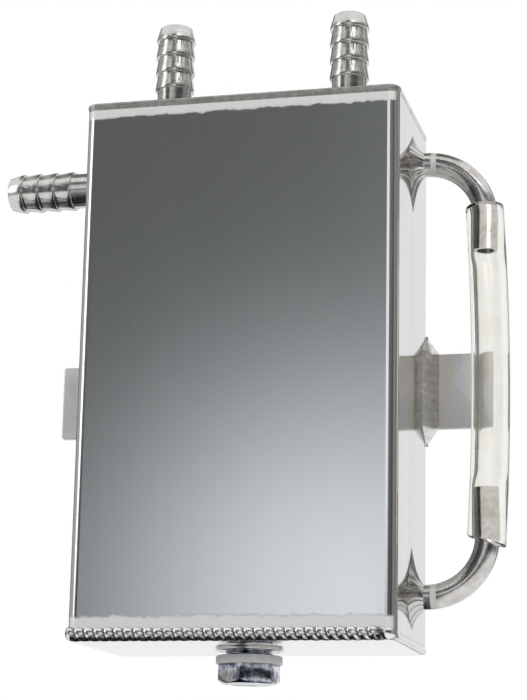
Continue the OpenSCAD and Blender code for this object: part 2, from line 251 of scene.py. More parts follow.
def make_scratches() -> None:
    """Builds the group of sparse short scratches in two directions."""
    graph, given, out = new_group(
        "scratches", "ShaderNodeTree", [("Density", "float", 0.64), ("Scale", "float", 1.0)],
        [("Mask", "float")])
    place = graph.node("ShaderNodeTexCoord").outputs["Object"]
    found = []
    for tilt, stretch in ((0.35, (900.0, 900.0, 34.0)), (-0.9, (700.0, 700.0, 26.0))):
        turned = graph.node("ShaderNodeVectorRotate", {"Vector": place, "Axis": (0.1, 1.0, 0.1), "Angle": tilt})
        scaled = graph.vector("MULTIPLY", turned.outputs[0], stretch)
        sized = graph.node("ShaderNodeVectorMath", {0: scaled, "Scale": given["Scale"]}, operation="SCALE")
        noise = graph.node("ShaderNodeTexNoise", {"Vector": sized.outputs[0], "Scale": 1.0, "Detail": 0.0})
        over = graph.math("SUBTRACT", noise.outputs[0], given["Density"])
        found.append(graph.math("MULTIPLY", over, 14.0))
    both = graph.node("ShaderNodeClamp", {"Value": graph.math("MAXIMUM", *found)})
    graph.feed(out.inputs["Mask"], both.outputs[0])


def start_material(name: str) -> tuple[bpy.types.Material, Graph, bpy.types.Node]:
    """Makes an empty material.

    Args:
        name: The material's name.

    Returns:
        The material, its graph and its Principled BSDF.
    """
    material = bpy.data.materials.new(name)
    material.use_nodes = True
    graph = Graph(material.node_tree)
    graph.tree.nodes.clear()
    shader = graph.node("ShaderNodeBsdfPrincipled")
    graph.node("ShaderNodeOutputMaterial", {"Surface": shader.outputs[0]})
    return material, graph, shader


def add_bump(graph: Graph, shader: bpy.types.Node, height: Any, depth: float, strength: float = 1.0) -> None:
    """Roughens a surface by a height.

    Args:
        graph: The material's graph.
        shader: The shader whose normal is set.
        height: The height's socket, from 0 to 1.
        depth: What a height of 1 means, in metres.
        strength: The share of the effect that is used.
    """
    bump = graph.node("ShaderNodeBump", {"Height": height, "Distance": depth, "Strength": strength})
    graph.feed(shader.inputs["Normal"], bump.outputs[0])


# Finishes


@dataclass(frozen=True)
class BrushedSheet:
    """The shell: brushed upright in front and behind, frosted beside the rim welds, polished at its sides."""

    name: str = "brushed_sheet_metal"
    dark: Colour = (0.74, 0.765, 0.785, 1.0)
    light: Colour = (0.80, 0.82, 0.83, 1.0)
    frosted: Colour = (0.85, 0.845, 0.83, 1.0)
    bright_mark: Colour = (0.92, 0.92, 0.91, 1.0)
    polished: Colour = (0.66, 0.66, 0.652, 1.0)
    polished_band: Colour = (0.46, 0.46, 0.452, 1.0)
    side_start: float = 58.6 * MM
    side_full: float = 59.6 * MM
    top_edge: float = 98.8 * MM
    bottom_edge: float = -95.7 * MM
    top_share: float = 1.4
    frost_reach: float = 4.4 * MM

    def make(self) -> bpy.types.Material:
        """Returns the material."""
        material, graph, shader = start_material(self.name)
        lines = graph.group("drawn_lines", {"Stretch": (3600.0, 3600.0, 22.0), "Contrast": 0.6}).outputs[0]
        bands = graph.group("drawn_lines", {"Stretch": (420.0, 420.0, 3.0), "Contrast": 0.6}).outputs[0]
        clouds = graph.group("cloudy_patches", {"Size": 38.0, "Start": 0.42, "Full": 0.66}).outputs[0]
        ragged = graph.node("ShaderNodeTexNoise", {"Scale": 220.0, "Detail": 4.0, "Roughness": 0.7,
                            "Vector": graph.node("ShaderNodeTexCoord").outputs["Object"]}).outputs[0]
        place = graph.node("ShaderNodeSeparateXYZ",
                           {0: graph.node("ShaderNodeTexCoord").outputs["Object"]}).outputs
        from_top = graph.math("MULTIPLY", graph.math("SUBTRACT", self.top_edge, place["Z"]), self.top_share)
        from_bottom = graph.math("SUBTRACT", place["Z"], self.bottom_edge)
        near = graph.math("MINIMUM", from_top, from_bottom)
        wander = graph.math("MULTIPLY", graph.math("SUBTRACT", ragged, 0.5), 5.0 * MM)
        side = graph.stretched(graph.math("ABSOLUTE", place["X"]), self.side_start, self.side_full)
        frost = graph.math("MULTIPLY", graph.math("SUBTRACT", 1.0, side), graph.stretched(
            graph.math("ADD", near, wander), self.frost_reach, 2.8 * MM))
        marks = graph.group("scratches", {"Density": 0.81, "Scale": 2.2}).outputs[0]
        metal = graph.blend(graph.math("ADD", graph.math("MULTIPLY", lines, 0.6),
                                       graph.math("MULTIPLY", bands, 0.4)), self.dark, self.light)
        metal = graph.blend(graph.math("MULTIPLY", clouds, 0.25), metal, self.light)
        metal = graph.blend(graph.math("MULTIPLY", frost, 0.8), metal, self.frosted)
        metal = graph.blend(graph.math("MULTIPLY", marks, 0.18), metal, self.bright_mark)
        sides = graph.blend(bands, self.polished_band, self.polished)
        graph.feed(shader.inputs["Base Color"], graph.blend(side, metal, sides))
        graph.feed(shader.inputs["Metallic"], graph.math("SUBTRACT", 1.0, graph.math("MULTIPLY", frost, 0.6)))
        rough = graph.math("ADD", graph.math("MULTIPLY", lines, 0.04), 0.16)
        rough = graph.math("ADD", rough, graph.math("MULTIPLY", frost, 0.30))
        graph.feed(shader.inputs["Roughness"], graph.math(
            "SUBTRACT", rough, graph.math("MULTIPLY", side, 0.10)))
        add_bump(graph, shader, graph.math("ADD", lines, bands), 0.0007 * MM)
        return material


@dataclass(frozen=True)
class MillSheet:
    """Bare rolled sheet, as on the end plates, the tabs and the baffle."""

    name: str
    dark: Colour = (0.66, 0.66, 0.655, 1.0)
    light: Colour = (0.80, 0.80, 0.79, 1.0)
    stretch: Point = (60.0, 1800.0, 1800.0)
    roughness: float = 0.34
    cloud_rough: float = 0.16
    line_depth: float = 0.008 * MM
    mark_share: float = 0.25
    metallic: float = 1.0
    root_light_painted: bool = False
    root_light_start: float = 65.0 * MM
    root_light_end: float = 75.0 * MM
    root_shade_colour: Colour = (0.62, 0.55, 0.46, 1.0)
    bend_sheen_colour: Colour = (0.50, 0.56, 0.66, 1.0)

    def make(self) -> bpy.types.Material:
        """Returns the material."""
        material, graph, shader = start_material(self.name)
        lines = graph.group("drawn_lines", {"Stretch": self.stretch, "Contrast": 1.0}).outputs[0]
        clouds = graph.group("cloudy_patches", {"Size": 150.0, "Start": 0.4, "Full": 0.7}).outputs[0]
        marks = graph.group("scratches", {"Density": 0.71, "Scale": 1.4}).outputs[0]
        metal = graph.blend(lines, self.dark, self.light)
        metal = graph.blend(graph.math("MULTIPLY", clouds, 0.35), metal, self.dark)
        # painted light at the tab's root: brown painted shade, then blue painted reflection
        if self.root_light_painted:
            metal = self.root_shade_and_sheen(graph, metal)
        metal = graph.blend(graph.math("MULTIPLY", marks, self.mark_share), metal, (0.42, 0.42, 0.43, 1.0))
        graph.feed(shader.inputs["Base Color"], metal)
        shader.inputs["Metallic"].default_value = self.metallic
        graph.feed(shader.inputs["Roughness"],
                   graph.math("ADD", graph.math("MULTIPLY", clouds, self.cloud_rough), self.roughness))
        add_bump(graph, shader, graph.math("SUBTRACT", lines, graph.math("MULTIPLY", marks, self.mark_share)),
                 self.line_depth)
        return material

    def root_shade_and_sheen(self, graph: Graph, metal: bpy.types.NodeSocket) -> bpy.types.NodeSocket:
        """Returns the colour with painted light beside a weld: a brown painted shade in the gap at the tab's root,
        then a blue painted reflection of the tab's bend.
        """
        place = graph.node("ShaderNodeSeparateXYZ",
                           {0: graph.node("ShaderNodeTexCoord").outputs["Object"]}).outputs
        out = graph.math("ABSOLUTE", place["X"])
        wander = graph.group("cloudy_patches", {"Size": 120.0, "Start": 0.3, "Full": 0.7}).outputs[0]
        out = graph.math("SUBTRACT", out, graph.math("MULTIPLY", wander, 5.0 * MM))
        # brown painted shade next to the wall, blue painted reflection a few millimetres further out
        root_shade = graph.stretched(out, self.root_light_start + 3 * MM, self.root_light_start)
        bend_sheen = graph.math("MULTIPLY", graph.stretched(out, self.root_light_start, self.root_light_start + 3 * MM),
                          graph.stretched(out, self.root_light_end, self.root_light_start + 4 * MM))
        metal = graph.blend(graph.math("MULTIPLY", bend_sheen, 0.25), metal, self.bend_sheen_colour)
        return graph.blend(graph.math("MULTIPLY", root_shade, 0.5), metal, self.root_shade_colour)


@dataclass(frozen=True)
class WeldMetal:
    """Bright weld metal, with painted shade darkening the valleys between its ripples."""

    name: str = "rippled_weld_metal"
    crest: Colour = (0.84, 0.84, 0.835, 1.0)
    valley_shade: Colour = (0.16, 0.16, 0.165, 1.0)
    roughness: float = 0.13

    def make(self) -> bpy.types.Material:
        """Returns the material."""
        material, graph, shader = start_material(self.name)
        height = graph.node("ShaderNodeAttribute", attribute_name="ripple_height").outputs["Fac"]
        grit = graph.group("cloudy_patches", {"Size": 900.0, "Start": 0.35, "Full": 0.7}).outputs[0]
        stain = graph.group("cloudy_patches", {"Size": 120.0, "Start": 0.5, "Full": 0.7, "Shift": 3.0}).outputs[0]
        # the valley colour is painted shade laid in the dips between ripples
        metal = graph.blend(graph.stretched(height, 0.15, 0.75), self.valley_shade, self.crest)
        metal = graph.blend(graph.math("MULTIPLY", stain, 0.4), metal, (0.50, 0.49, 0.47, 1.0))
        graph.feed(shader.inputs["Base Color"], metal)
        shader.inputs["Metallic"].default_value = 1.0
        graph.feed(shader.inputs["Roughness"], graph.math(
            "ADD", graph.math("MULTIPLY", grit, 0.14), self.roughness))
        add_bump(graph, shader, grit, 0.008 * MM)
        return material


@dataclass(frozen=True)
class GroundWeld:
    """Weld metal dressed down with a disc, rough and dull; its dark brown-grey colour is painted shade."""

    name: str = "ground_weld_metal"
    dark: Colour = (0.36, 0.345, 0.325, 1.0)
    light: Colour = (0.62, 0.605, 0.58, 1.0)
    polished: Colour = (0.60, 0.60, 0.592, 1.0)
    side_start: float = 58.8 * MM
    side_full: float = 59.8 * MM
    roughness: float = 0.36

    def make(self) -> bpy.types.Material:
        """Returns the material."""
        material, graph, shader = start_material(self.name)
        cloud = graph.group("cloudy_patches", {"Size": 420.0, "Start": 0.36, "Full": 0.68}).outputs[0]
        lines = graph.group("drawn_lines", {"Stretch": (900.0, 2600.0, 900.0), "Contrast": 1.1}).outputs[0]
        share = graph.math("MULTIPLY", graph.math("ADD", cloud, lines), 0.5)
        place = graph.node("ShaderNodeSeparateXYZ",
                           {0: graph.node("ShaderNodeTexCoord").outputs["Object"]}).outputs
        side = graph.stretched(graph.math("ABSOLUTE", place["X"]), self.side_start, self.side_full)
        # the dark brown-grey colours are painted shade; the rough finish is the real ground surface
        graph.feed(shader.inputs["Base Color"], graph.blend(
            side, graph.blend(share, self.dark, self.light), self.polished))
        shader.inputs["Metallic"].default_value = 1.0
        rough = graph.math("ADD", graph.math("MULTIPLY", cloud, 0.12), self.roughness)
        graph.feed(shader.inputs["Roughness"], graph.math(
            "SUBTRACT", rough, graph.math("MULTIPLY", side, 0.24)))
        add_bump(graph, shader, graph.math("MULTIPLY", share, graph.math("SUBTRACT", 1.0, side)), 0.02 * MM)
        return material


@dataclass(frozen=True)
class TurnedMetal:
    """Bright turned metal, with fine rings round its axis."""

    name: str
    axis: Axis = Axis.Z
    dark: Colour = (0.54, 0.53, 0.515, 1.0)
    light: Colour = (0.76, 0.75, 0.735, 1.0)
    roughness: float = 0.16
    across: float = 120.0
    along: float = 5200.0

    def make(self) -> bpy.types.Material:
        """Returns the material."""
        material, graph, shader = start_material(self.name)
        stretch = [self.across] * 3
        stretch[self.axis.value] = self.along
        rings = graph.group("drawn_lines", {"Stretch": stretch, "Contrast": 1.2}).outputs[0]
        stain = graph.group("cloudy_patches", {"Size": 260.0, "Start": 0.5, "Full": 0.72}).outputs[0]
        metal = graph.blend(rings, self.dark, self.light)
        metal = graph.blend(graph.math("MULTIPLY", stain, 0.3), metal, (0.55, 0.55, 0.55, 1.0))
        graph.feed(shader.inputs["Base Color"], metal)
        shader.inputs["Metallic"].default_value = 1.0
        graph.feed(shader.inputs["Roughness"], graph.math(
            "ADD", graph.math("MULTIPLY", rings, 0.1), self.roughness))
        add_bump(graph, shader, rings, 0.008 * MM)
        return material


@dataclass(frozen=True)
class DrawnTube:
    """The elbows' satin tube, with a few dull handling marks."""

    name: str = "drawn_tube_metal"
    dark: Colour = (0.52, 0.50, 0.485, 1.0)
    light: Colour = (0.72, 0.705, 0.69, 1.0)
    frosted: Colour = (0.84, 0.84, 0.82, 1.0)
    frost_start: float = 67.0 * MM
    frost_end: float = 69.6 * MM
    roughness: float = 0.16

    def make(self) -> bpy.types.Material:
        """Returns the material."""
        material, graph, shader = start_material(self.name)
        cloud = graph.group("cloudy_patches", {"Size": 180.0, "Start": 0.35, "Full": 0.7}).outputs[0]
        grit = graph.group("cloudy_patches", {"Size": 1600.0, "Start": 0.35, "Full": 0.7}).outputs[0]
        marks = graph.group("scratches", {"Density": 0.66, "Scale": 2.0}).outputs[0]
        place = graph.node("ShaderNodeSeparateXYZ",
                           {0: graph.node("ShaderNodeTexCoord").outputs["Object"]}).outputs
        frost = graph.math("MULTIPLY", graph.stretched(place["X"], self.frost_start, self.frost_start + 0.5 * MM),
                           graph.stretched(place["X"], self.frost_end, self.frost_end - 0.5 * MM))
        metal = graph.blend(cloud, self.dark, self.light)
        metal = graph.blend(graph.math("MULTIPLY", marks, 0.3), metal, (0.9, 0.9, 0.89, 1.0))
        metal = graph.blend(graph.math("MULTIPLY", frost, 0.9), metal, self.frosted)
        graph.feed(shader.inputs["Base Color"], metal)
        graph.feed(shader.inputs["Metallic"], graph.math("SUBTRACT", 1.0, graph.math("MULTIPLY", frost, 0.6)))
        rough = graph.math("ADD", graph.math("MULTIPLY", cloud, 0.08), self.roughness)
        graph.feed(shader.inputs["Roughness"], graph.math("ADD", rough, graph.math("MULTIPLY", frost, 0.35)))
        add_bump(graph, shader, grit, 0.006 * MM)
        return material


@dataclass(frozen=True)
class ZincSteel:
    """The plug's bright zinc plating, mottled blue and white."""

    name: str = "zinc_plated_steel"
    dark: Colour = (0.12, 0.15, 0.23, 1.0)
    light: Colour = (0.78, 0.81, 0.84, 1.0)
    speck: Colour = (0.95, 0.95, 0.94, 1.0)
    roughness: float = 0.1

    def make(self) -> bpy.types.Material:
        """Returns the material."""
        material, graph, shader = start_material(self.name)
        cloud = graph.group("cloudy_patches", {"Size": 320.0, "Start": 0.36, "Full": 0.66}).outputs[0]
        specks = graph.group("cloudy_patches", {"Size": 1500.0, "Start": 0.62, "Full": 0.7, "Shift": 1.0}).outputs[0]
        metal = graph.blend(cloud, self.dark, self.light)
        metal = graph.blend(graph.math("MULTIPLY", specks, 0.7), metal, self.speck)
        graph.feed(shader.inputs["Base Color"], metal)
        shader.inputs["Metallic"].default_value = 1.0
        graph.feed(shader.inputs["Roughness"], graph.math(
            "ADD", graph.math("MULTIPLY", cloud, 0.12), self.roughness))
        add_bump(graph, shader, graph.math("ADD", specks, cloud), 0.008 * MM)
        return material


@dataclass(frozen=True)
class SealPlastic:
    """The washer's smooth grey plastic."""

    name: str = "grey_seal_plastic"
    dark: Colour = (0.60, 0.61, 0.62, 1.0)
    light: Colour = (0.76, 0.765, 0.77, 1.0)
    roughness: float = 0.34

    def make(self) -> bpy.types.Material:
        """Returns the material."""
        material, graph, shader = start_material(self.name)
        cloud = graph.group("cloudy_patches", {"Size": 240.0, "Start": 0.36, "Full": 0.66}).outputs[0]
        lines = graph.group("drawn_lines", {"Stretch": (90.0, 90.0, 2600.0), "Contrast": 0.8}).outputs[0]
        graph.feed(shader.inputs["Base Color"], graph.blend(
            graph.math("MULTIPLY", graph.math("ADD", cloud, lines), 0.5), self.dark, self.light))
        graph.feed(shader.inputs["Roughness"], graph.math(
            "ADD", graph.math("MULTIPLY", cloud, 0.12), self.roughness))
        add_bump(graph, shader, lines, 0.01 * MM)
        return material


@dataclass(frozen=True)
class ClearHose:
    """Clear soft plastic, faintly cream."""

    name: str = "clear_soft_plastic"
    clear: Colour = (0.94, 0.935, 0.91, 1.0)
    cloudy: Colour = (0.89, 0.88, 0.84, 1.0)
    ior: float = 1.45

    def make(self) -> bpy.types.Material:
        """Returns the material."""
        material, graph, shader = start_material(self.name)
        haze = graph.group("cloudy_patches", {"Size": 90.0, "Start": 0.4, "Full": 0.7}).outputs[0]
        lines = graph.group("drawn_lines", {"Stretch": (900.0, 900.0, 12.0), "Contrast": 0.9}).outputs[0]
        graph.feed(shader.inputs["Base Color"], graph.blend(haze, self.clear, self.cloudy))
        graph.feed(shader.inputs["Roughness"], graph.math(
            "ADD", graph.math("MULTIPLY", haze, 0.05), 0.03))
        shader.inputs["Transmission Weight"].default_value = 1.0
        shader.inputs["IOR"].default_value = self.ior
        add_bump(graph, shader, lines, 0.01 * MM)
        return material


# Shared mesh work


def dress(piece: bpy.types.Object, material: bpy.types.Material) -> None:
    """Gives a piece one material in place of those it has."""
    piece.data.materials.clear()
    piece.data.materials.append(material)


def add_piece(name: str, mesh: bpy.types.Mesh) -> bpy.types.Object:
    """Returns a new object for a mesh, at the origin."""
    piece = bpy.data.objects.new(name, mesh)
    bpy.context.scene.collection.objects.link(piece)
    return piece


def settle(piece: bpy.types.Object, body: Body, replaced: Sequence[str] = ()) -> bpy.types.Object:
    """Hands a finished piece to the frame.

    Args:
        piece: The finished piece.
        body: The body that it rides on.
        replaced: The CAD nodes that it stands for.

    Returns:
        The piece.
    """
    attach(piece, body.value)
    if replaced:
        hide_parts(*replaced)
    log.info("%s: %d faces on %s", piece.name, len(piece.data.polygons), body.value)
    return piece


def outward(mesh: bpy.types.Mesh, place: Matrix | None = None) -> None:
    """Merges doubles, puts a mesh in its place and points its faces outwards."""
    work = bmesh.new()
    work.from_mesh(mesh)
    bmesh.ops.remove_doubles(work, verts=work.verts, dist=0.0005 * MM)
    if place is not None:
        work.transform(place)
    bmesh.ops.recalc_face_normals(work, faces=work.faces)
    work.to_mesh(mesh)
    work.free()


def baked(piece: bpy.types.Object) -> None:
    """Turns what a piece's modifiers make into its plain mesh."""
    depsgraph = bpy.context.evaluated_depsgraph_get()
    made = bpy.data.meshes.new_from_object(piece.evaluated_get(depsgraph))
    piece.modifiers.clear()
    piece.data = made


def rounded_copy(node: str, name: str, edge: float, change: Callable[[Vector], None] | None = None,
                 least_angle: float = 28.0) -> bpy.types.Object:
    """Copies a CAD node as one closed mesh and breaks its sharp edges.

    Args:
        node: The CAD node.
        name: The new piece's name.
        edge: The width of the broken edges, in metres.
        change: What moves the copy's points, before the edges are broken.
        least_angle: The angle in degrees from which an edge counts as sharp.

    Returns:
        The new piece.
    """
    work = bmesh.new()
    work.from_mesh(frame["nodes"][node].data)
    bmesh.ops.remove_doubles(work, verts=work.verts, dist=0.0005 * MM)
    bmesh.ops.dissolve_limit(work, angle_limit=math.radians(0.4), verts=work.verts, edges=work.edges)
    if change is not None:
        for vertex in work.verts:
            change(vertex.co)
    mesh = bpy.data.meshes.new(name)
    work.to_mesh(mesh)
    work.free()
    piece = add_piece(name, mesh)
    bevel = piece.modifiers.new("broken_edges", "BEVEL")
    bevel.width = edge
    bevel.segments = 2
    bevel.limit_method = "ANGLE"
    bevel.angle_limit = math.radians(least_angle)
    bevel.harden_normals = False
    baked(piece)
    return piece


def smooth_by_angle(mesh: bpy.types.Mesh, degrees: float) -> None:
    """Smooths a mesh except across edges sharper than an angle."""
    mesh.shade_smooth()
    mesh.set_sharp_from_angle(angle=math.radians(degrees))


def loop_mesh(name: str, points: Sequence[Point], closed: bool,
              values: dict[str, Sequence[float]] | None = None) -> bpy.types.Mesh:
    """Makes a line of points joined by edges.

    Args:
        name: The mesh's name.
        points: The points in order.
        closed: Whether the last point is joined to the first.
        values: Numbers kept at each point, by name.

    Returns:
        The mesh.
    """
    mesh = bpy.data.meshes.new(name)
    count = len(points)
    edges = [(i, (i + 1) % count) for i in range(count if closed else count - 1)]
    mesh.from_pydata([tuple(p) for p in points], edges, [])
    for label, numbers in (values or {}).items():
        mesh.attributes.new(label, "FLOAT", "POINT").data.foreach_set("value", list(numbers))
    return mesh


def curve_between(start: Sequence[float], control: Sequence[float], end: Sequence[float],
                  count: int) -> list[tuple[float, float]]:
    """Returns points on a curve from start to end that bends towards control."""
    found = []
    for i in range(count):
        t = i / (count - 1)
        found.append(tuple((1 - t) ** 2 * a + 2 * t * (1 - t) * b + t * t * c
                           for a, b, c in zip(start, control, end)))
    return found


# Geometry nodes


def make_bead_tree() -> bpy.types.NodeTree:
    """Builds the tree that lays a rippled weld bead along a path.

    Returns:
        The tree.
    """
    graph, given, out = new_group("rippled_bead", "GeometryNodeTree", [
        ("Path", "geometry", None), ("Profile", "object", None), ("Ripples", "int", 30),
        ("Rings per Ripple", "int", 12), ("Ripple Depth", "float", 0.15), ("Lead", "float", 1.5 * MM),
        ("Unevenness", "float", 0.05), ("Closed", "float", 1.0), ("Seed", "int", 1),
        ("Material", "material", None)], [("Bead", "geometry")])
    rings = graph.math("MULTIPLY", given["Ripples"], given["Rings per Ripple"])
    rings = graph.math("ADD", rings, graph.math("SUBTRACT", 1.0, given["Closed"]))
    curve = graph.node("GeometryNodeMeshToCurve", {0: given["Path"]}).outputs[0]
    curve = graph.node("GeometryNodeResampleCurve", {"Curve": curve, "Count": rings}, mode="COUNT").outputs[0]
    index = graph.node("GeometryNodeInputIndex").outputs[0]
    place = graph.math("DIVIDE", index, given["Rings per Ripple"])
    phase = graph.math("FRACT", place)
    number = graph.math("FLOOR", place)
    arch = graph.math("SINE", graph.math("MULTIPLY", graph.math("POWER", phase, 0.72), math.pi))
    chance = graph.node("FunctionNodeRandomValue", {"ID": number, "Seed": given["Seed"]}, data_type="FLOAT")
    luck = graph.math("MULTIPLY", graph.math("SUBTRACT", chance.outputs[1], 0.5), given["Unevenness"])
    swell = graph.math("SUBTRACT", 1.0, graph.math("MULTIPLY", given["Ripple Depth"],
                                                   graph.math("SUBTRACT", 1.0, arch)))
    swell = graph.math("MULTIPLY", graph.math("ADD", swell, luck),
                       graph.node("GeometryNodeInputNamedAttribute", {"Name": "taper"}).outputs[0])

    def keep(geometry: Any, name: str, value: Any, kind: str = "FLOAT") -> bpy.types.NodeSocket:
        """Returns the geometry with a value stored at each point."""
        node = graph.node("GeometryNodeStoreNamedAttribute", {"Geometry": geometry, "Name": name},
                          data_type=kind, domain="POINT")
        graph.feed(node.inputs["Value"], value)
        return node.outputs[0]

    curve = graph.node("GeometryNodeSetCurveNormal", {"Curve": curve}, mode="Z_UP").outputs[0]
    curve = keep(curve, "ripple_height", arch)
    curve = keep(curve, "bead_scale", swell)
    curve = keep(curve, "heading", graph.node("GeometryNodeInputTangent").outputs[0], "FLOAT_VECTOR")
    profile = graph.node("GeometryNodeObjectInfo", {"Object": given["Profile"]}).outputs["Geometry"]
    profile = graph.node("GeometryNodeMeshToCurve", {0: profile}).outputs[0]
    scale = graph.node("GeometryNodeInputNamedAttribute", {"Name": "bead_scale"}).outputs[0]
    bead = graph.node("GeometryNodeCurveToMesh", {
        "Curve": curve, "Profile Curve": profile, "Scale": scale, "Fill Caps": True}).outputs[0]
    across = graph.node("GeometryNodeInputNamedAttribute", {"Name": "across"}).outputs[0]
    middle = graph.math("MULTIPLY", graph.math("MULTIPLY", across, graph.math("SUBTRACT", 1.0, across)), 4.0)
    back = graph.math("MULTIPLY", graph.math("MULTIPLY", middle, given["Lead"]), -1.0)
    heading = graph.node("GeometryNodeInputNamedAttribute", {"Name": "heading"}, data_type="FLOAT_VECTOR")
    taper = graph.node("GeometryNodeInputNamedAttribute", {"Name": "taper"}).outputs[0]
    shift = graph.node("ShaderNodeVectorMath", {0: heading.outputs[0], "Scale": graph.math(
        "MULTIPLY", back, taper)}, operation="SCALE").outputs[0]
    bead = graph.node("GeometryNodeSetPosition", {"Geometry": bead, "Offset": shift}).outputs[0]
    bead = graph.node("GeometryNodeSetShadeSmooth", {"Geometry": bead}).outputs[0]
    bead = graph.node("GeometryNodeRealizeInstances", {"Geometry": bead}).outputs[0]
    bead = graph.node("GeometryNodeSetMaterial", {"Geometry": bead, "Material": given["Material"]}).outputs[0]
    graph.feed(out.inputs["Bead"], bead)
    return graph.tree


def make_thread_tree() -> bpy.types.NodeTree:
    """Builds the tree that winds a screw thread.

    Returns:
        The tree.
    """
    graph, given, out = new_group("screw_thread", "GeometryNodeTree", [
        ("Start", "geometry", None), ("Profile", "object", None), ("Turns", "float", 6.0),
        ("Pitch", "float", 1.5 * MM), ("Root Radius", "float", 8.0 * MM), ("Points per Turn", "int", 64),
        ("Material", "material", None)], [("Thread", "geometry")])
    height = graph.math("MULTIPLY", given["Turns"], given["Pitch"])
    helix = graph.node("GeometryNodeCurveSpiral", {
        "Resolution": given["Points per Turn"], "Rotations": given["Turns"], "Start Radius": given["Root Radius"],
        "End Radius": given["Root Radius"], "Height": height, "Reverse": True}).outputs[0]
    helix = graph.node("GeometryNodeSetCurveNormal", {"Curve": helix}, mode="Z_UP").outputs[0]
    profile = graph.node("GeometryNodeObjectInfo", {"Object": given["Profile"]}).outputs["Geometry"]
    profile = graph.node("GeometryNodeMeshToCurve", {0: profile}).outputs[0]
    thread = graph.node("GeometryNodeCurveToMesh", {
        "Curve": helix, "Profile Curve": profile, "Fill Caps": True}).outputs[0]
    both = graph.node("GeometryNodeJoinGeometry", {0: thread}).outputs[0]
    both = graph.node("GeometryNodeRealizeInstances", {"Geometry": both}).outputs[0]
    both = graph.node("GeometryNodeSetMaterial", {"Geometry": both, "Material": given["Material"]}).outputs[0]
    graph.feed(out.inputs["Thread"], both)
    return graph.tree


def grown(piece: bpy.types.Object, tree: bpy.types.NodeTree, values: dict[str, Any]) -> None:
    """Runs a geometry nodes tree on a piece and keeps the result as its mesh.

    Args:
        piece: The piece, whose mesh is the tree's first input.
        tree: The geometry nodes tree.
        values: The tree's inputs by name.
    """
    modifier = piece.modifiers.new(tree.name, "NODES")
    modifier.node_group = tree
    for item in tree.interface.items_tree:
        if item.item_type == "SOCKET" and item.in_out == "INPUT" and item.name in values:
            modifier[item.identifier] = values[item.name]
    baked(piece)


# Welds


@dataclass
class Bead:
    """One weld bead: where it runs, its section and its ripples."""

    name: str
    node: str
    path: list[Point]
    tapers: list[float]
    closed: bool
    section: list[tuple[float, float]]
    hidden: list[tuple[float, float]]
    ripples: int
    place: Matrix
    depth: float = 0.16
    lead: float = 1.5 * MM
    rings: int = 14
    uneven: float = 0.07
    seed: int = 1
    one_way: bool = False
    change: Callable[[Vector], None] | None = None

    def build(self, tree: bpy.types.NodeTree, material: bpy.types.Material) -> bpy.types.Object:
        """Lays the bead and hands it to the frame.

        Args:
            tree: The rippled bead tree.
            material: The weld metal.

        Returns:
            The finished piece.
        """
        most = 0.5 if self.one_way else 1.0
        shares = [most * i / (len(self.section) - 1) for i in range(len(self.section))]
        shares += [0.0] * len(self.hidden)
        outline = [(x, -y, 0.0) for x, y in [*self.section, *self.hidden]]
        profile = add_piece(self.name + "_profile", loop_mesh(self.name + "_profile", outline, True,
                                                              {"across": shares}))
        piece = add_piece(self.name, loop_mesh(self.name, self.path, self.closed, {"taper": self.tapers}))
        grown(piece, tree, {
            "Profile": profile, "Ripples": self.ripples, "Rings per Ripple": self.rings,
            "Ripple Depth": self.depth, "Lead": self.lead, "Unevenness": self.uneven,
            "Closed": 1.0 if self.closed else 0.0, "Seed": self.seed, "Material": material})
        bpy.data.objects.remove(profile)
        if self.change is not None:
            for vertex in piece.data.vertices:
                self.change(vertex.co)
        outward(piece.data, self.place)
        smooth_by_angle(piece.data, 70.0)
        return settle(piece, Body.TANK, [self.node] if self.node else [])


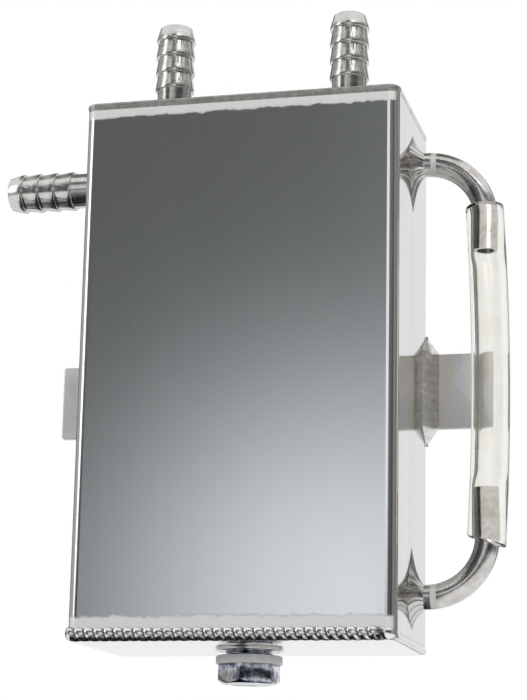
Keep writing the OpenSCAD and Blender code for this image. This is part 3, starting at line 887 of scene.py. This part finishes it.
@dataclass
class TankWelds:
    """All the welds that show on the tank."""

    half_width: float = 60.0 * MM
    half_depth: float = 32.0 * MM
    middle_y: float = -33.5 * MM
    top: float = 102.5 * MM
    bottom: float = -100.5 * MM
    bend: float = 4.0 * MM
    inset: float = 1.0 * MM
    root_up: float = 1.5 * MM
    rim_start: tuple[float, float] = (-2.4 * MM, 0.0)
    rim_bulge: tuple[float, float] = (3.2 * MM, -2.5 * MM)
    rim_end: tuple[float, float] = (0.0, 4.8 * MM)
    rim_ripples: int = 94
    rope_hollow: tuple[float, float] = (1.05 * MM, -1.2 * MM)
    rope_crown: tuple[float, float] = (1.05 * MM, 2.5 * MM)
    rope_shoulder: tuple[float, float] = (1.05 * MM, 3.9 * MM)
    rope_ripples: int = 33
    dressed_share: float = 0.62
    bend_steps: int = 8
    side_ripples: int = 16
    crown_points: int = 16

    def rim_path(self) -> list[Point]:
        """Returns the path under a rim weld, anticlockwise seen from above, from the front's right end."""
        radius = self.bend - self.inset
        across, deep = self.half_width - self.bend, self.half_depth - self.bend
        path: list[Point] = []
        for x, y, start in ((across, -deep, -90), (across, deep, 0), (-across, deep, 90), (-across, -deep, 180)):
            for i in range(self.bend_steps + 1):
                a = math.radians(start + 90 * i / self.bend_steps)
                path.append((x + radius * math.cos(a), y + radius * math.sin(a), self.root_up))
        return path

    def rim(self, name: str, node: str, at_top: bool) -> Bead:
        """Describes the dressed weld round one end of the shell.

        Args:
            name: The piece's name.
            node: The CAD node that it stands for.
            at_top: Whether it is the top rim.

        Returns:
            The bead.
        """
        section = self.from_root(curve_between(self.rim_start, self.rim_bulge, self.rim_end, self.crown_points))
        place = Matrix.Translation((0.0, self.middle_y, self.top if at_top else self.bottom))
        if at_top:
            place = place @ Matrix.Scale(-1.0, 4, (0.0, 0.0, 1.0))
        path = self.rim_path()
        return Bead(name, node, path, [self.dressed_share] * len(path), True, section, [],
                    self.rim_ripples, place, depth=0.03, lead=0.6 * MM, uneven=0.03, seed=3)

    def front_rope(self) -> Bead:
        """Describes the rippled bead left as laid along the bottom's front, dying out in both front bends."""
        lower = curve_between(self.rim_start, self.rope_hollow, self.rope_crown, 11)
        upper = curve_between(self.rope_crown, self.rope_shoulder, self.rim_end, 8)
        steps = self.bend_steps + 1
        path = self.rim_path()
        rise = [self.dressed_share + (1 - self.dressed_share) * i / self.bend_steps for i in range(steps)]
        place = Matrix.Translation((0.0, self.middle_y, self.bottom))
        return Bead("bottom_front_rope", "", path[-steps:] + path[:steps], rise + rise[::-1], False,
                    self.from_root(lower + upper[1:]), [], self.rope_ripples, place,
                    depth=0.17, lead=3.4 * MM, uneven=0.06, seed=5, one_way=True)

    def from_root(self, section: list[tuple[float, float]]) -> list[tuple[float, float]]:
        """Returns a rim section measured from the path under it."""
        return [(x + self.inset, y - self.root_up) for x, y in section]

    def round_tube(self, name: str, node: str, radius: float, reach: float, place: Matrix,
                   seed: int, tails: tuple[float, float] = (0.0, 0.0)) -> Bead:
        """Describes the fillet round a tube that stands on a flat face.

        Args:
            name: The piece's name.
            node: The CAD node that it stands for.
            radius: The tube's radius.
            reach: The fillet's reach.
            place: Where the tube's foot is, with the tube along +Z.
            seed: The seed of its unevenness.
            tails: How much further it runs over the face towards local -X and +X.

        Returns:
            The bead.
        """
        def run_out(point: Vector) -> None:
            """Draws the bead's edge out into its tails."""
            out = math.hypot(point.x, point.y)
            share = min(1.0, max(0.0, (out - radius) / reach))
            along = abs(point.x) / max(out, 0.1 * MM)
            tail = tails[0] if point.x < 0 else tails[1]
            point.x += math.copysign(tail * share * share * along ** 8, point.x)

        section = curve_between((reach, -0.05 * MM), (0.36 * reach, 0.36 * reach), (-0.05 * MM, reach),
                                self.crown_points)
        count = 96
        path = [(radius * math.cos(FULL_TURN * i / count), radius * math.sin(FULL_TURN * i / count), 0.0)
                for i in range(count)]
        return Bead(name, node, path, [1.0] * count, True, section, [(-0.3 * MM, -0.3 * MM)],
                    self.side_ripples, place, depth=0.035, lead=0.8 * MM, seed=seed, uneven=0.06,
                    change=run_out if any(tails) else None)

    def beside_tab(self, name: str, node: str, side: int, seed: int) -> Bead:
        """Describes the pointed fillet between a tab and the wall.

        Args:
            name: The piece's name.
            node: The CAD node that it stands for.
            side: 1 on the right, -1 on the left.
            seed: The seed of its unevenness.

        Returns:
            The bead.
        """
        half_run, past, steps = 21.5 * MM, 7.0 * MM, 60
        path, tapers = [], []
        for i in range(steps + 1):
            z = half_run * (2 * i / steps - 1)
            share = min(1.0, (half_run - abs(z)) / past)
            path.append((z, 0.0, 0.0))
            tapers.append(max(0.14, share))
        section = curve_between((5.0 * MM, -0.05 * MM), (2.0 * MM, 2.6 * MM), (-0.05 * MM, 10.0 * MM),
                                self.crown_points)
        place = Matrix(((0.0, -side * 1.0, 0.0, side * self.half_width), (0.0, 0.0, -1.0, -3.0 * MM),
                        (1.0, 0.0, 0.0, 0.0), (0.0, 0.0, 0.0, 1.0)))
        return Bead(name, node, path, tapers, False, section, [(-0.3 * MM, -0.3 * MM)], 12, place,
                    depth=0.012, lead=0.6 * MM, uneven=0.015, seed=seed)

    def build(self, rippled: bpy.types.Material, smooth: bpy.types.Material, pale: bpy.types.Material,
              ground: bpy.types.Material) -> None:
        """Builds every weld.

        Args:
            rippled: The finish of beads left as laid.
            smooth: The finish of the elbows' fillets, with faint ripples.
            pale: The finish of the tabs' smooth fillets.
            ground: The finish of beads that are dressed down.
        """
        tree = make_bead_tree()
        upright = Matrix.Translation
        to_left = Matrix.Rotation(-math.pi / 2, 4, "Y")
        to_right = Matrix.Rotation(math.pi / 2, 4, "Y")
        barb_radius, barb_reach, tube_radius, tube_reach = 6.7 * MM, 3.6 * MM, 4.5 * MM, 4.8 * MM
        short, long = 3.0 * MM, 9.5 * MM
        beads = [
            (self.rim("top_rim_bead", "top_weld", True), ground),
            (self.rim("bottom_rim_bead", "bottom_weld", False), ground),
            (self.front_rope(), rippled),
            (self.round_tube("left_top_barb_bead", "left_top_barb_weld", barb_radius, barb_reach,
                             upright((-35.0 * MM, self.middle_y, self.top)), 11), rippled),
            (self.round_tube("right_top_barb_bead", "right_top_barb_weld", barb_radius, barb_reach,
                             upright((35.0 * MM, self.middle_y, self.top)), 12), rippled),
            (self.round_tube("side_barb_bead", "side_barb_weld", barb_radius, barb_reach,
                             upright((-self.half_width, self.middle_y, 78.5 * MM)) @ to_left, 13), rippled),
            (self.round_tube("upper_elbow_bead", "upper_elbow_weld", tube_radius, tube_reach,
                             upright((self.half_width, self.middle_y, 80.8 * MM)) @ to_right, 14,
                             (short, long)), smooth),
            (self.round_tube("lower_elbow_bead", "lower_elbow_weld", tube_radius, tube_reach,
                             upright((self.half_width, self.middle_y, -82.4 * MM)) @ to_right, 15,
                             (long, short)), smooth),
            (self.beside_tab("left_tab_bead", "left_tab_weld", -1, 16), pale),
            (self.beside_tab("right_tab_bead", "right_tab_weld", 1, 17), pale),
        ]
        for bead, material in beads:
            bead.build(tree, material)


# Tank and fittings


@dataclass
class TankBody:
    """The shell, its end plates and the baffle inside."""

    plates: tuple[str, ...] = ("top_plate", "bottom_plate")
    inner_welds: tuple[str, ...] = ("baffle_tacks", "drain_boss_weld")

    def build(self, sheet: bpy.types.Material, polished: bpy.types.Material, rolled: bpy.types.Material,
              weld: bpy.types.Material) -> None:
        """Dresses the CAD nodes that keep their own shape.

        Args:
            sheet: The shell's finish.
            polished: The end plates' finish.
            rolled: The baffle's finish.
            weld: The weld metal.
        """
        dress(frame["nodes"]["tank_shell"], sheet)
        dress(frame["nodes"]["baffle_plate"], rolled)
        for node in self.plates:
            dress(frame["nodes"][node], polished)
        for node in self.inner_welds:
            dress(frame["nodes"][node], weld)
        log.info("tank body: %d nodes dressed", 2 + len(self.plates) + len(self.inner_welds))


@dataclass
class HoseBarbs:
    """The three barbs, with their sharp edges just broken."""

    top_nodes: tuple[str, ...] = ("left_top_barb", "right_top_barb")
    side_node: str = "side_barb"
    edge: float = 0.12 * MM

    def build(self, upright: bpy.types.Material, sideways: bpy.types.Material) -> None:
        """Builds the barbs.

        Args:
            upright: Turned metal with its rings round Z.
            sideways: Turned metal with its rings round X.
        """
        for node in (*self.top_nodes, self.side_node):
            piece = rounded_copy(node, node + "_turned", self.edge)
            smooth_by_angle(piece.data, 32.0)
            dress(piece, sideways if node == self.side_node else upright)
            settle(piece, Body.TANK, [node])


@dataclass
class SightTube:
    """The two elbows and the clear hose between them."""

    wall_x: float = 60.0 * MM
    inner_end: float = 55.0 * MM
    upper_z: float = 80.8 * MM
    lower_z: float = -82.4 * MM
    bend: float = 22.0 * MM
    tube: float = 4.5 * MM
    tube_bore: float = 3.2 * MM
    bend_steps: int = 28
    leg_x: float = 87.5 * MM
    middle_y: float = -33.5 * MM
    top: float = 63.3 * MM
    bottom: float = -64.9 * MM
    end_set: float = 0.5 * MM
    bow: float = 2.0 * MM
    outside: float = 7.1 * MM
    bore: float = 4.5 * MM
    seat_clear: float = 0.04 * MM
    upper_leg_end: float = 45.8 * MM
    lower_leg_end: float = -43.2 * MM
    seat_blend: float = 7.0 * MM
    trim_slope: float = math.tan(math.radians(17.0))
    lip: float = 0.35 * MM
    around: int = 72
    rows: int = 90

    def centre_x(self, z: float) -> float:
        """Returns the hose's centre line at a height."""
        half = (self.top - self.bottom) / 2
        share = (z - (self.top + self.bottom) / 2) / half
        return self.leg_x - self.end_set + self.bow * (1 - share * share)

    def bore_x(self, z: float) -> float:
        """Returns the bore's centre line at a height; it follows the legs where they fill it."""
        above = (z - self.upper_leg_end) / self.seat_blend + 1
        below = (self.lower_leg_end - z) / self.seat_blend + 1
        share = min(1.0, max(0.0, above, below))
        share = share * share * (3 - 2 * share)
        past = min(self.bend, max(0.0, z - (self.upper_z - self.bend), (self.lower_z + self.bend) - z))
        leg = self.leg_x - self.bend + math.sqrt(self.bend ** 2 - past ** 2)
        return self.centre_x(z) * (1 - share) + leg * share

    def row(self, share: float, radius: float, in_bore: bool, shift: float) -> list[Point]:
        """Returns one ring of the hose's surface.

        Args:
            share: 0 at the lower cut and 1 at the upper cut.
            radius: The ring's radius.
            in_bore: Whether the ring follows the bore's centre line.
            shift: Distance that the ring stands inside the end.

        Returns:
            The ring's points.
        """
        low_x, low_z = self.leg_x - self.outside, self.bottom + 2 * self.outside * self.trim_slope
        points = []
        for i in range(self.around):
            a = FULL_TURN * i / self.around
            dx, dy = radius * math.cos(a), radius * math.sin(a)
            cut_z = low_z - (self.leg_x - self.end_set + dx - low_x) * self.trim_slope + shift
            top_z = self.top + dx * 0.0625 - shift
            z = cut_z + share * (top_z - cut_z)
            middle = self.bore_x(z) if in_bore else self.centre_x(z)
            if in_bore:
                past = max(0.0, z - (self.upper_z - self.bend), (self.lower_z + self.bend) - z)
                dx /= math.cos(math.asin(min(0.6, past / self.bend)))
            points.append((middle + dx, self.middle_y + dy, z))
        return points

    def hose(self, material: bpy.types.Material) -> None:
        """Builds the clear hose as one closed wall.

        Args:
            material: The clear plastic.
        """
        bore = self.bore + self.seat_clear
        shares = [i / self.rows for i in range(self.rows + 1)]
        rings = [self.row(0.0, self.outside - self.lip, False, 0.0)]
        rings += [self.row(t, self.outside, False, self.lip) for t in shares]
        rings += [self.row(1.0, self.outside - self.lip, False, 0.0), self.row(1.0, bore + self.lip, True, 0.0)]
        rings += [self.row(t, bore, True, self.lip) for t in reversed(shares)]
        rings += [self.row(0.0, bore + self.lip, True, 0.0)]
        count, n = len(rings), self.around
        faces = [(i * n + j, i * n + (j + 1) % n, ((i + 1) % count) * n + (j + 1) % n, ((i + 1) % count) * n + j)
                 for i in range(count) for j in range(n)]
        mesh = bpy.data.meshes.new("sight_hose_clear")
        mesh.from_pydata([p for ring in rings for p in ring], [], faces)
        outward(mesh)
        smooth_by_angle(mesh, 40.0)
        piece = add_piece("sight_hose_clear", mesh)
        dress(piece, material)
        settle(piece, Body.TANK, ["sight_hose"])

    def elbow(self, node: str, mouth_z: float, end_z: float, material: bpy.types.Material) -> None:
        """Sweeps one elbow from inside the wall, round its bend and along its upright leg.

        Args:
            node: The CAD node that it stands for.
            mouth_z: The height of its level part.
            end_z: The height of its upright leg's end.
            material: The tube's finish.
        """
        way = 1.0 if end_z > mouth_z else -1.0
        start_x, centre_z = self.leg_x - self.bend, mouth_z + way * self.bend
        line = [(self.inner_end, mouth_z, 0.0), (self.wall_x, mouth_z, 0.0)]
        for i in range(self.bend_steps + 1):
            a = math.pi / 2 * i / self.bend_steps
            line.append((start_x + self.bend * math.sin(a), centre_z - way * self.bend * math.cos(a), a))
        line.append((self.leg_x, end_z, math.pi / 2))
        n, points = self.around, []
        for radius, stations in ((self.tube, line), (self.tube_bore, line[::-1])):
            for x, z, a in stations:
                for i in range(n):
                    t = FULL_TURN * i / n
                    side = radius * math.cos(t)
                    points.append((x + side * math.sin(a), self.middle_y + radius * math.sin(t),
                                   z - way * side * math.cos(a)))
        rings = len(points) // n
        faces = [(i * n + j, i * n + (j + 1) % n, ((i + 1) % rings) * n + (j + 1) % n, ((i + 1) % rings) * n + j)
                 for i in range(rings) for j in range(n)]
        mesh = bpy.data.meshes.new(node + "_bent")
        mesh.from_pydata(points, [], faces)
        outward(mesh)
        smooth_by_angle(mesh, 40.0)
        piece = add_piece(node + "_bent", mesh)
        dress(piece, material)
        settle(piece, Body.TANK, [node])

    def build(self, tube: bpy.types.Material, clear: bpy.types.Material) -> None:
        """Builds the elbows and the hose.

        Args:
            tube: The elbows' finish.
            clear: The hose's finish.
        """
        self.elbow("upper_elbow", self.upper_z, self.upper_leg_end, tube)
        self.elbow("lower_elbow", self.lower_z, self.lower_leg_end, tube)
        self.hose(clear)


@dataclass
class MountingTabs:
    """The two tabs behind the tank."""

    nodes: tuple[str, ...] = ("left_tab", "right_tab")
    edge: float = 0.3 * MM

    def build(self, material: bpy.types.Material) -> None:
        """Builds the tabs.

        Args:
            material: Their finish.
        """
        for node in self.nodes:
            piece = rounded_copy(node, node + "_cut", self.edge)
            smooth_by_angle(piece.data, 32.0)
            dress(piece, material)
            settle(piece, Body.TANK, [node])


@dataclass
class Drain:
    """The boss, the washer and the plug with its thread."""

    middle_y: float = -33.5 * MM
    head_top: float = -106.4 * MM
    crest: float = 8.8 * MM
    root: float = 8.0 * MM
    pitch: float = 1.5 * MM
    shank: float = 12.0 * MM
    turns: float = 7.4

    def plug_core(self) -> bpy.types.Object:
        """Returns the plug's head with its shank turned down to the thread's root."""
        def to_root(point: Vector) -> None:
            """Moves a point of the shank in to the root of the thread."""
            out = math.hypot(point.x, point.y - self.middle_y)
            if point.z > self.head_top - 0.01 * MM and abs(out - self.crest) < 0.1 * MM:
                point.x *= self.root / self.crest
                point.y = self.middle_y + (point.y - self.middle_y) * self.root / self.crest

        return rounded_copy("drain_plug", "drain_plug_hex", 0.25 * MM, to_root, 20.0)

    def thread(self, material: bpy.types.Material) -> bpy.types.Object:
        """Winds the plug's thread.

        Args:
            material: The plug's finish.

        Returns:
            The thread, in place on the shank.
        """
        tall = self.crest - self.root
        outline = [(-0.1 * MM, 0.70 * MM, 0.0), (tall, 0.11 * MM, 0.0), (tall, -0.11 * MM, 0.0),
                   (-0.1 * MM, -0.70 * MM, 0.0)]
        profile = add_piece("thread_profile", loop_mesh("thread_profile", outline, True))
        piece = add_piece("drain_plug_thread", loop_mesh("drain_plug_thread", [(0.0, 0.0, 0.0)], False))
        grown(piece, make_thread_tree(), {
            "Profile": profile, "Turns": self.turns, "Pitch": self.pitch, "Root Radius": self.root,
            "Points per Turn": 72, "Material": material})
        bpy.data.objects.remove(profile)
        outward(piece.data, Matrix.Translation((0.0, self.middle_y, self.head_top + 0.6 * MM)))
        smooth_by_angle(piece.data, 30.0)
        return piece

    def build(self, turned: bpy.types.Material, seal: bpy.types.Material, zinc: bpy.types.Material) -> None:
        """Builds the drain.

        Args:
            turned: The boss's finish.
            seal: The washer's finish.
            zinc: The plug's finish.
        """
        for node, body, slot, edge, material in (
                ("drain_boss", Body.TANK, Slot.TURNED, 0.2 * MM, turned),
                ("drain_washer", Body.WASHER, Slot.WASHER, 0.4 * MM, seal)):
            piece = rounded_copy(node, node + "_edged", edge)
            smooth_by_angle(piece.data, 32.0)
            dress(piece, material)
            settle(piece, body, [node])
        core = self.plug_core()
        smooth_by_angle(core.data, 25.0)
        dress(core, zinc)
        settle(core, Body.PLUG, ["drain_plug"])
        settle(self.thread(zinc), Body.PLUG)


# Studio


@dataclass(frozen=True)
class Card:
    """A studio card that only shows in reflections."""

    name: str
    low: Point
    high: Point
    colour: Colour


@dataclass
class Studio:
    """Floor, world, lamps, reflection cards and camera."""

    floor_z: float = -0.42
    floor_size: float = 12.0
    camera_at: Point = (0.1910, -0.7763, -0.1699)
    right: Point = (0.9704, 0.2409, 0.0193)
    up: Point = (0.0372, -0.2281, 0.9729)
    forward: Point = (-0.2388, 0.9434, 0.2303)
    focal_px: float = 2087.64
    sensor: float = 36.0
    cards: tuple[Card, ...] = (
        Card("back_card", (-2.2, 1.5, -0.15), (0.02, 1.5, 1.6), (0.10, 0.095, 0.09, 1.0)),
        Card("right_front_card", (0.5, -2.05, -0.6), (2.2, -0.9, 1.6), (0.06, 0.062, 0.068, 1.0)),
        Card("left_card", (-2.2, -2.0, -0.6), (-2.2, 1.5, 1.8), (0.42, 0.40, 0.37, 1.0)),
        Card("low_flag", (-1.3, -1.95, -0.8), (-0.8, -1.95, 0.25), (0.05, 0.05, 0.05, 1.0)),
        Card("dark_ground_card", (-0.45, -1.9, -0.41), (0.05, 0.5, -0.41), (0.02, 0.02, 0.02, 1.0)),
        Card("dark_ceiling_card", (-0.9, -0.25, 1.5), (0.4, 1.5, 1.5), (0.20, 0.19, 0.18, 1.0)),
        Card("camera_side_light", (-0.10, -1.95, 0.10), (0.85, -1.95, 1.0), (1.0, 1.0, 1.0, 1.0)),
        Card("right_card", (2.2, -0.9, -0.6), (2.2, 1.2, 1.8), (0.28, 0.265, 0.25, 1.0)),
        Card("behind_right_card", (0.75, 1.5, -0.4), (2.2, 1.5, 1.6), (0.22, 0.21, 0.20, 1.0)),
        Card("bright_strip", (-1.4, -1.97, 1.35), (-0.45, -1.97, 1.9), (1.0, 1.0, 1.0, 1.0)))

    def floor(self) -> None:
        """Makes the pale floor; the object's reflections see it as white."""
        half = self.floor_size / 2
        mesh = bpy.data.meshes.new("studio_floor")
        mesh.from_pydata([(-half, -half, self.floor_z), (half, -half, self.floor_z),
                          (half, half, self.floor_z), (-half, half, self.floor_z)], [], [(0, 1, 2, 3)])
        floor = add_piece("studio_floor", mesh)
        material, graph, shader = start_material("pale_floor")
        shader.inputs["Base Color"].default_value = (0.86, 0.86, 0.86, 1.0)
        shader.inputs["Roughness"].default_value = 0.8
        paths = graph.node("ShaderNodeLightPath").outputs
        share = graph.math("MAXIMUM", paths["Is Glossy Ray"], paths["Is Transmission Ray"])
        glow = graph.node("ShaderNodeEmission", {"Color": (1.0, 1.0, 1.0, 1.0), "Strength": 1.0})
        mixed = graph.node("ShaderNodeMixShader", {0: share, 1: shader.outputs[0], 2: glow.outputs[0]})
        output = next(n for n in graph.tree.nodes if n.bl_idname == "ShaderNodeOutputMaterial")
        graph.feed(output.inputs["Surface"], mixed.outputs[0])
        dress(floor, material)

    def world(self) -> None:
        """Makes a world that is white where it is seen and softer where it lights."""
        world = bpy.data.worlds.new("studio_world")
        bpy.context.scene.world = world
        world.use_nodes = True
        graph = Graph(world.node_tree)
        graph.tree.nodes.clear()
        paths = graph.node("ShaderNodeLightPath").outputs
        seen = graph.math("MAXIMUM", paths["Is Camera Ray"],
                          graph.math("MAXIMUM", paths["Is Glossy Ray"], paths["Is Transmission Ray"]))
        white = graph.node("ShaderNodeBackground", {"Color": (1.0, 1.0, 1.0, 1.0), "Strength": 1.0})
        soft = graph.node("ShaderNodeBackground", {"Color": (1.0, 1.0, 1.0, 1.0), "Strength": 0.62})
        mixed = graph.node("ShaderNodeMixShader", {0: seen, 1: soft.outputs[0], 2: white.outputs[0]})
        graph.node("ShaderNodeOutputWorld", {"Surface": mixed.outputs[0]})

    def lamp(self, name: str, place: Point, aim: Point, size: tuple[float, float], power: float) -> None:
        """Adds a soft rectangular lamp.

        Args:
            name: The lamp's name.
            place: Where it stands.
            aim: What it points at.
            size: Its width and height.
            power: Its power in watts.
        """
        light = bpy.data.lights.new(name, "AREA")
        light.shape = "RECTANGLE"
        light.size, light.size_y = size
        light.energy = power
        lamp = bpy.data.objects.new(name, light)
        lamp.location = place
        lamp.rotation_euler = (Vector(aim) - Vector(place)).to_track_quat("-Z", "Y").to_euler()
        bpy.context.scene.collection.objects.link(lamp)

    def front_card(self) -> None:
        """Makes the card whose shading the brushed front face mirrors."""
        mesh = bpy.data.meshes.new("front_card")
        x0, x1, y, z0, z1 = -2.2, 0.55, -2.0, -0.35, 2.2
        mesh.from_pydata([(x0, y, z0), (x1, y, z0), (x1, y, z1), (x0, y, z1)], [], [(0, 1, 2, 3)])
        card = add_piece("front_card", mesh)
        material, graph, shader = start_material("front_card_shade")
        place = graph.node("ShaderNodeSeparateXYZ",
                           {0: graph.node("ShaderNodeTexCoord").outputs["Object"]}).outputs
        aside = graph.math("DIVIDE", graph.math("ADD", place["X"], 0.36), 0.52)
        above = graph.math("DIVIDE", graph.math("SUBTRACT", place["Z"], 0.13), 0.48)
        away = graph.math("SQRT", graph.math("ADD", graph.math("MULTIPLY", aside, aside),
                                             graph.math("MULTIPLY", above, above)))
        level = graph.stretched(away, 0.0, 1.0, 1.12, 0.10)
        glow = graph.node("ShaderNodeEmission", {"Color": (0.97, 0.99, 1.0, 1.0), "Strength": level})
        output = next(n for n in graph.tree.nodes if n.bl_idname == "ShaderNodeOutputMaterial")
        graph.feed(output.inputs["Surface"], glow.outputs[0])
        graph.tree.nodes.remove(shader)
        dress(card, material)
        self.only_mirrored(card)

    def plain_card(self, card: Card) -> None:
        """Makes a card of one colour.

        Args:
            card: Its name, corners and colour.
        """
        (x0, y0, z0), (x1, y1, z1) = card.low, card.high
        near_y, far_y = (y0, y1) if z0 == z1 else (y1, y0)
        mesh = bpy.data.meshes.new(card.name)
        mesh.from_pydata([(x0, y0, z0), (x1, near_y, z0), (x1, y1, z1), (x0, far_y, z1)], [], [(0, 1, 2, 3)])
        piece = add_piece(card.name, mesh)
        material, graph, shader = start_material(card.name + "_shade")
        glow = graph.node("ShaderNodeEmission", {"Color": card.colour, "Strength": 1.0})
        output = next(n for n in graph.tree.nodes if n.bl_idname == "ShaderNodeOutputMaterial")
        graph.feed(output.inputs["Surface"], glow.outputs[0])
        graph.tree.nodes.remove(shader)
        dress(piece, material)
        self.only_mirrored(piece)

    def only_mirrored(self, card: bpy.types.Object) -> None:
        """Lets a card show in reflections and nowhere else."""
        card.visible_camera = False
        card.visible_diffuse = False
        card.visible_shadow = False
        card.visible_transmission = False

    def camera(self) -> None:
        """Puts the camera where the photograph was taken from."""
        data = bpy.data.cameras.new("photo_camera")
        data.sensor_fit = "AUTO"
        data.sensor_width = self.sensor
        data.lens = self.focal_px / PHOTO_HEIGHT_PX * self.sensor
        data.clip_start, data.clip_end = 0.01, 50.0
        camera = bpy.data.objects.new("photo_camera", data)
        back = [-v for v in self.forward]
        rows = [(self.right[i], self.up[i], back[i], self.camera_at[i]) for i in range(3)]
        camera.matrix_world = Matrix((*rows, (0.0, 0.0, 0.0, 1.0)))
        bpy.context.scene.collection.objects.link(camera)
        bpy.context.scene.camera = camera

    def build(self) -> None:
        """Builds the studio."""
        scene = bpy.context.scene
        scene.view_settings.view_transform = "Standard"
        self.floor()
        self.world()
        self.lamp("key_lamp", (1.3, -1.9, 1.3), (0.0, 0.0, 0.0), (1.2, 1.2), 14.0)
        self.lamp("side_lamp", (-1.9, -1.2, 0.8), (0.0, 0.0, 0.0), (0.9, 1.4), 7.0)
        self.front_card()
        for card in self.cards:
            self.plain_card(card)
        self.camera()
        log.info("studio: floor, world, two lamps, %d cards and camera", 1 + len(self.cards))


def main() -> None:
    """Builds every sub-assembly in order."""
    logging.basicConfig(level=logging.INFO, format="%(name)s %(message)s")
    make_drawn_lines()
    make_cloudy_patches()
    make_scratches()
    Studio().build()
    weld = WeldMetal().make()
    # the second colour of each weld finish is painted shade in its ripple valleys
    fillet = WeldMetal("fillet_weld_metal", (0.62, 0.615, 0.605, 1.0), (0.34, 0.335, 0.325, 1.0), 0.16).make()
    pale = WeldMetal("pale_weld_metal", (0.76, 0.755, 0.745, 1.0), (0.66, 0.65, 0.635, 1.0), 0.24).make()
    turned = TurnedMetal("turned_metal_upright").make()
    polished = MillSheet("polished_plate", (0.58, 0.58, 0.57, 1.0), (0.74, 0.74, 0.73, 1.0), roughness=0.07,
                         cloud_rough=0.05, mark_share=0.08, line_depth=0.001 * MM)
    TankBody().build(BrushedSheet().make(), polished.make(), MillSheet("rolled_sheet").make(), weld)
    # the ground weld finish carries painted shade in its dark brown-grey colour
    TankWelds().build(weld, fillet, pale, GroundWeld().make())
    HoseBarbs().build(turned, TurnedMetal("turned_metal_sideways", Axis.X).make())
    SightTube().build(DrawnTube().make(), ClearHose().make())
    # the tab finish paints a brown shade at the tab's root and a blue reflection just past it
    MountingTabs().build(MillSheet("mill_tab", (0.74, 0.735, 0.73, 1.0), (0.86, 0.855, 0.85, 1.0), (1800.0, 1800.0, 60.0),
                                   metallic=0.55, root_light_painted=True).make())
    Drain().build(turned, SealPlastic().make(), ZincSteel().make())


if __name__ == "__main__":
    main()
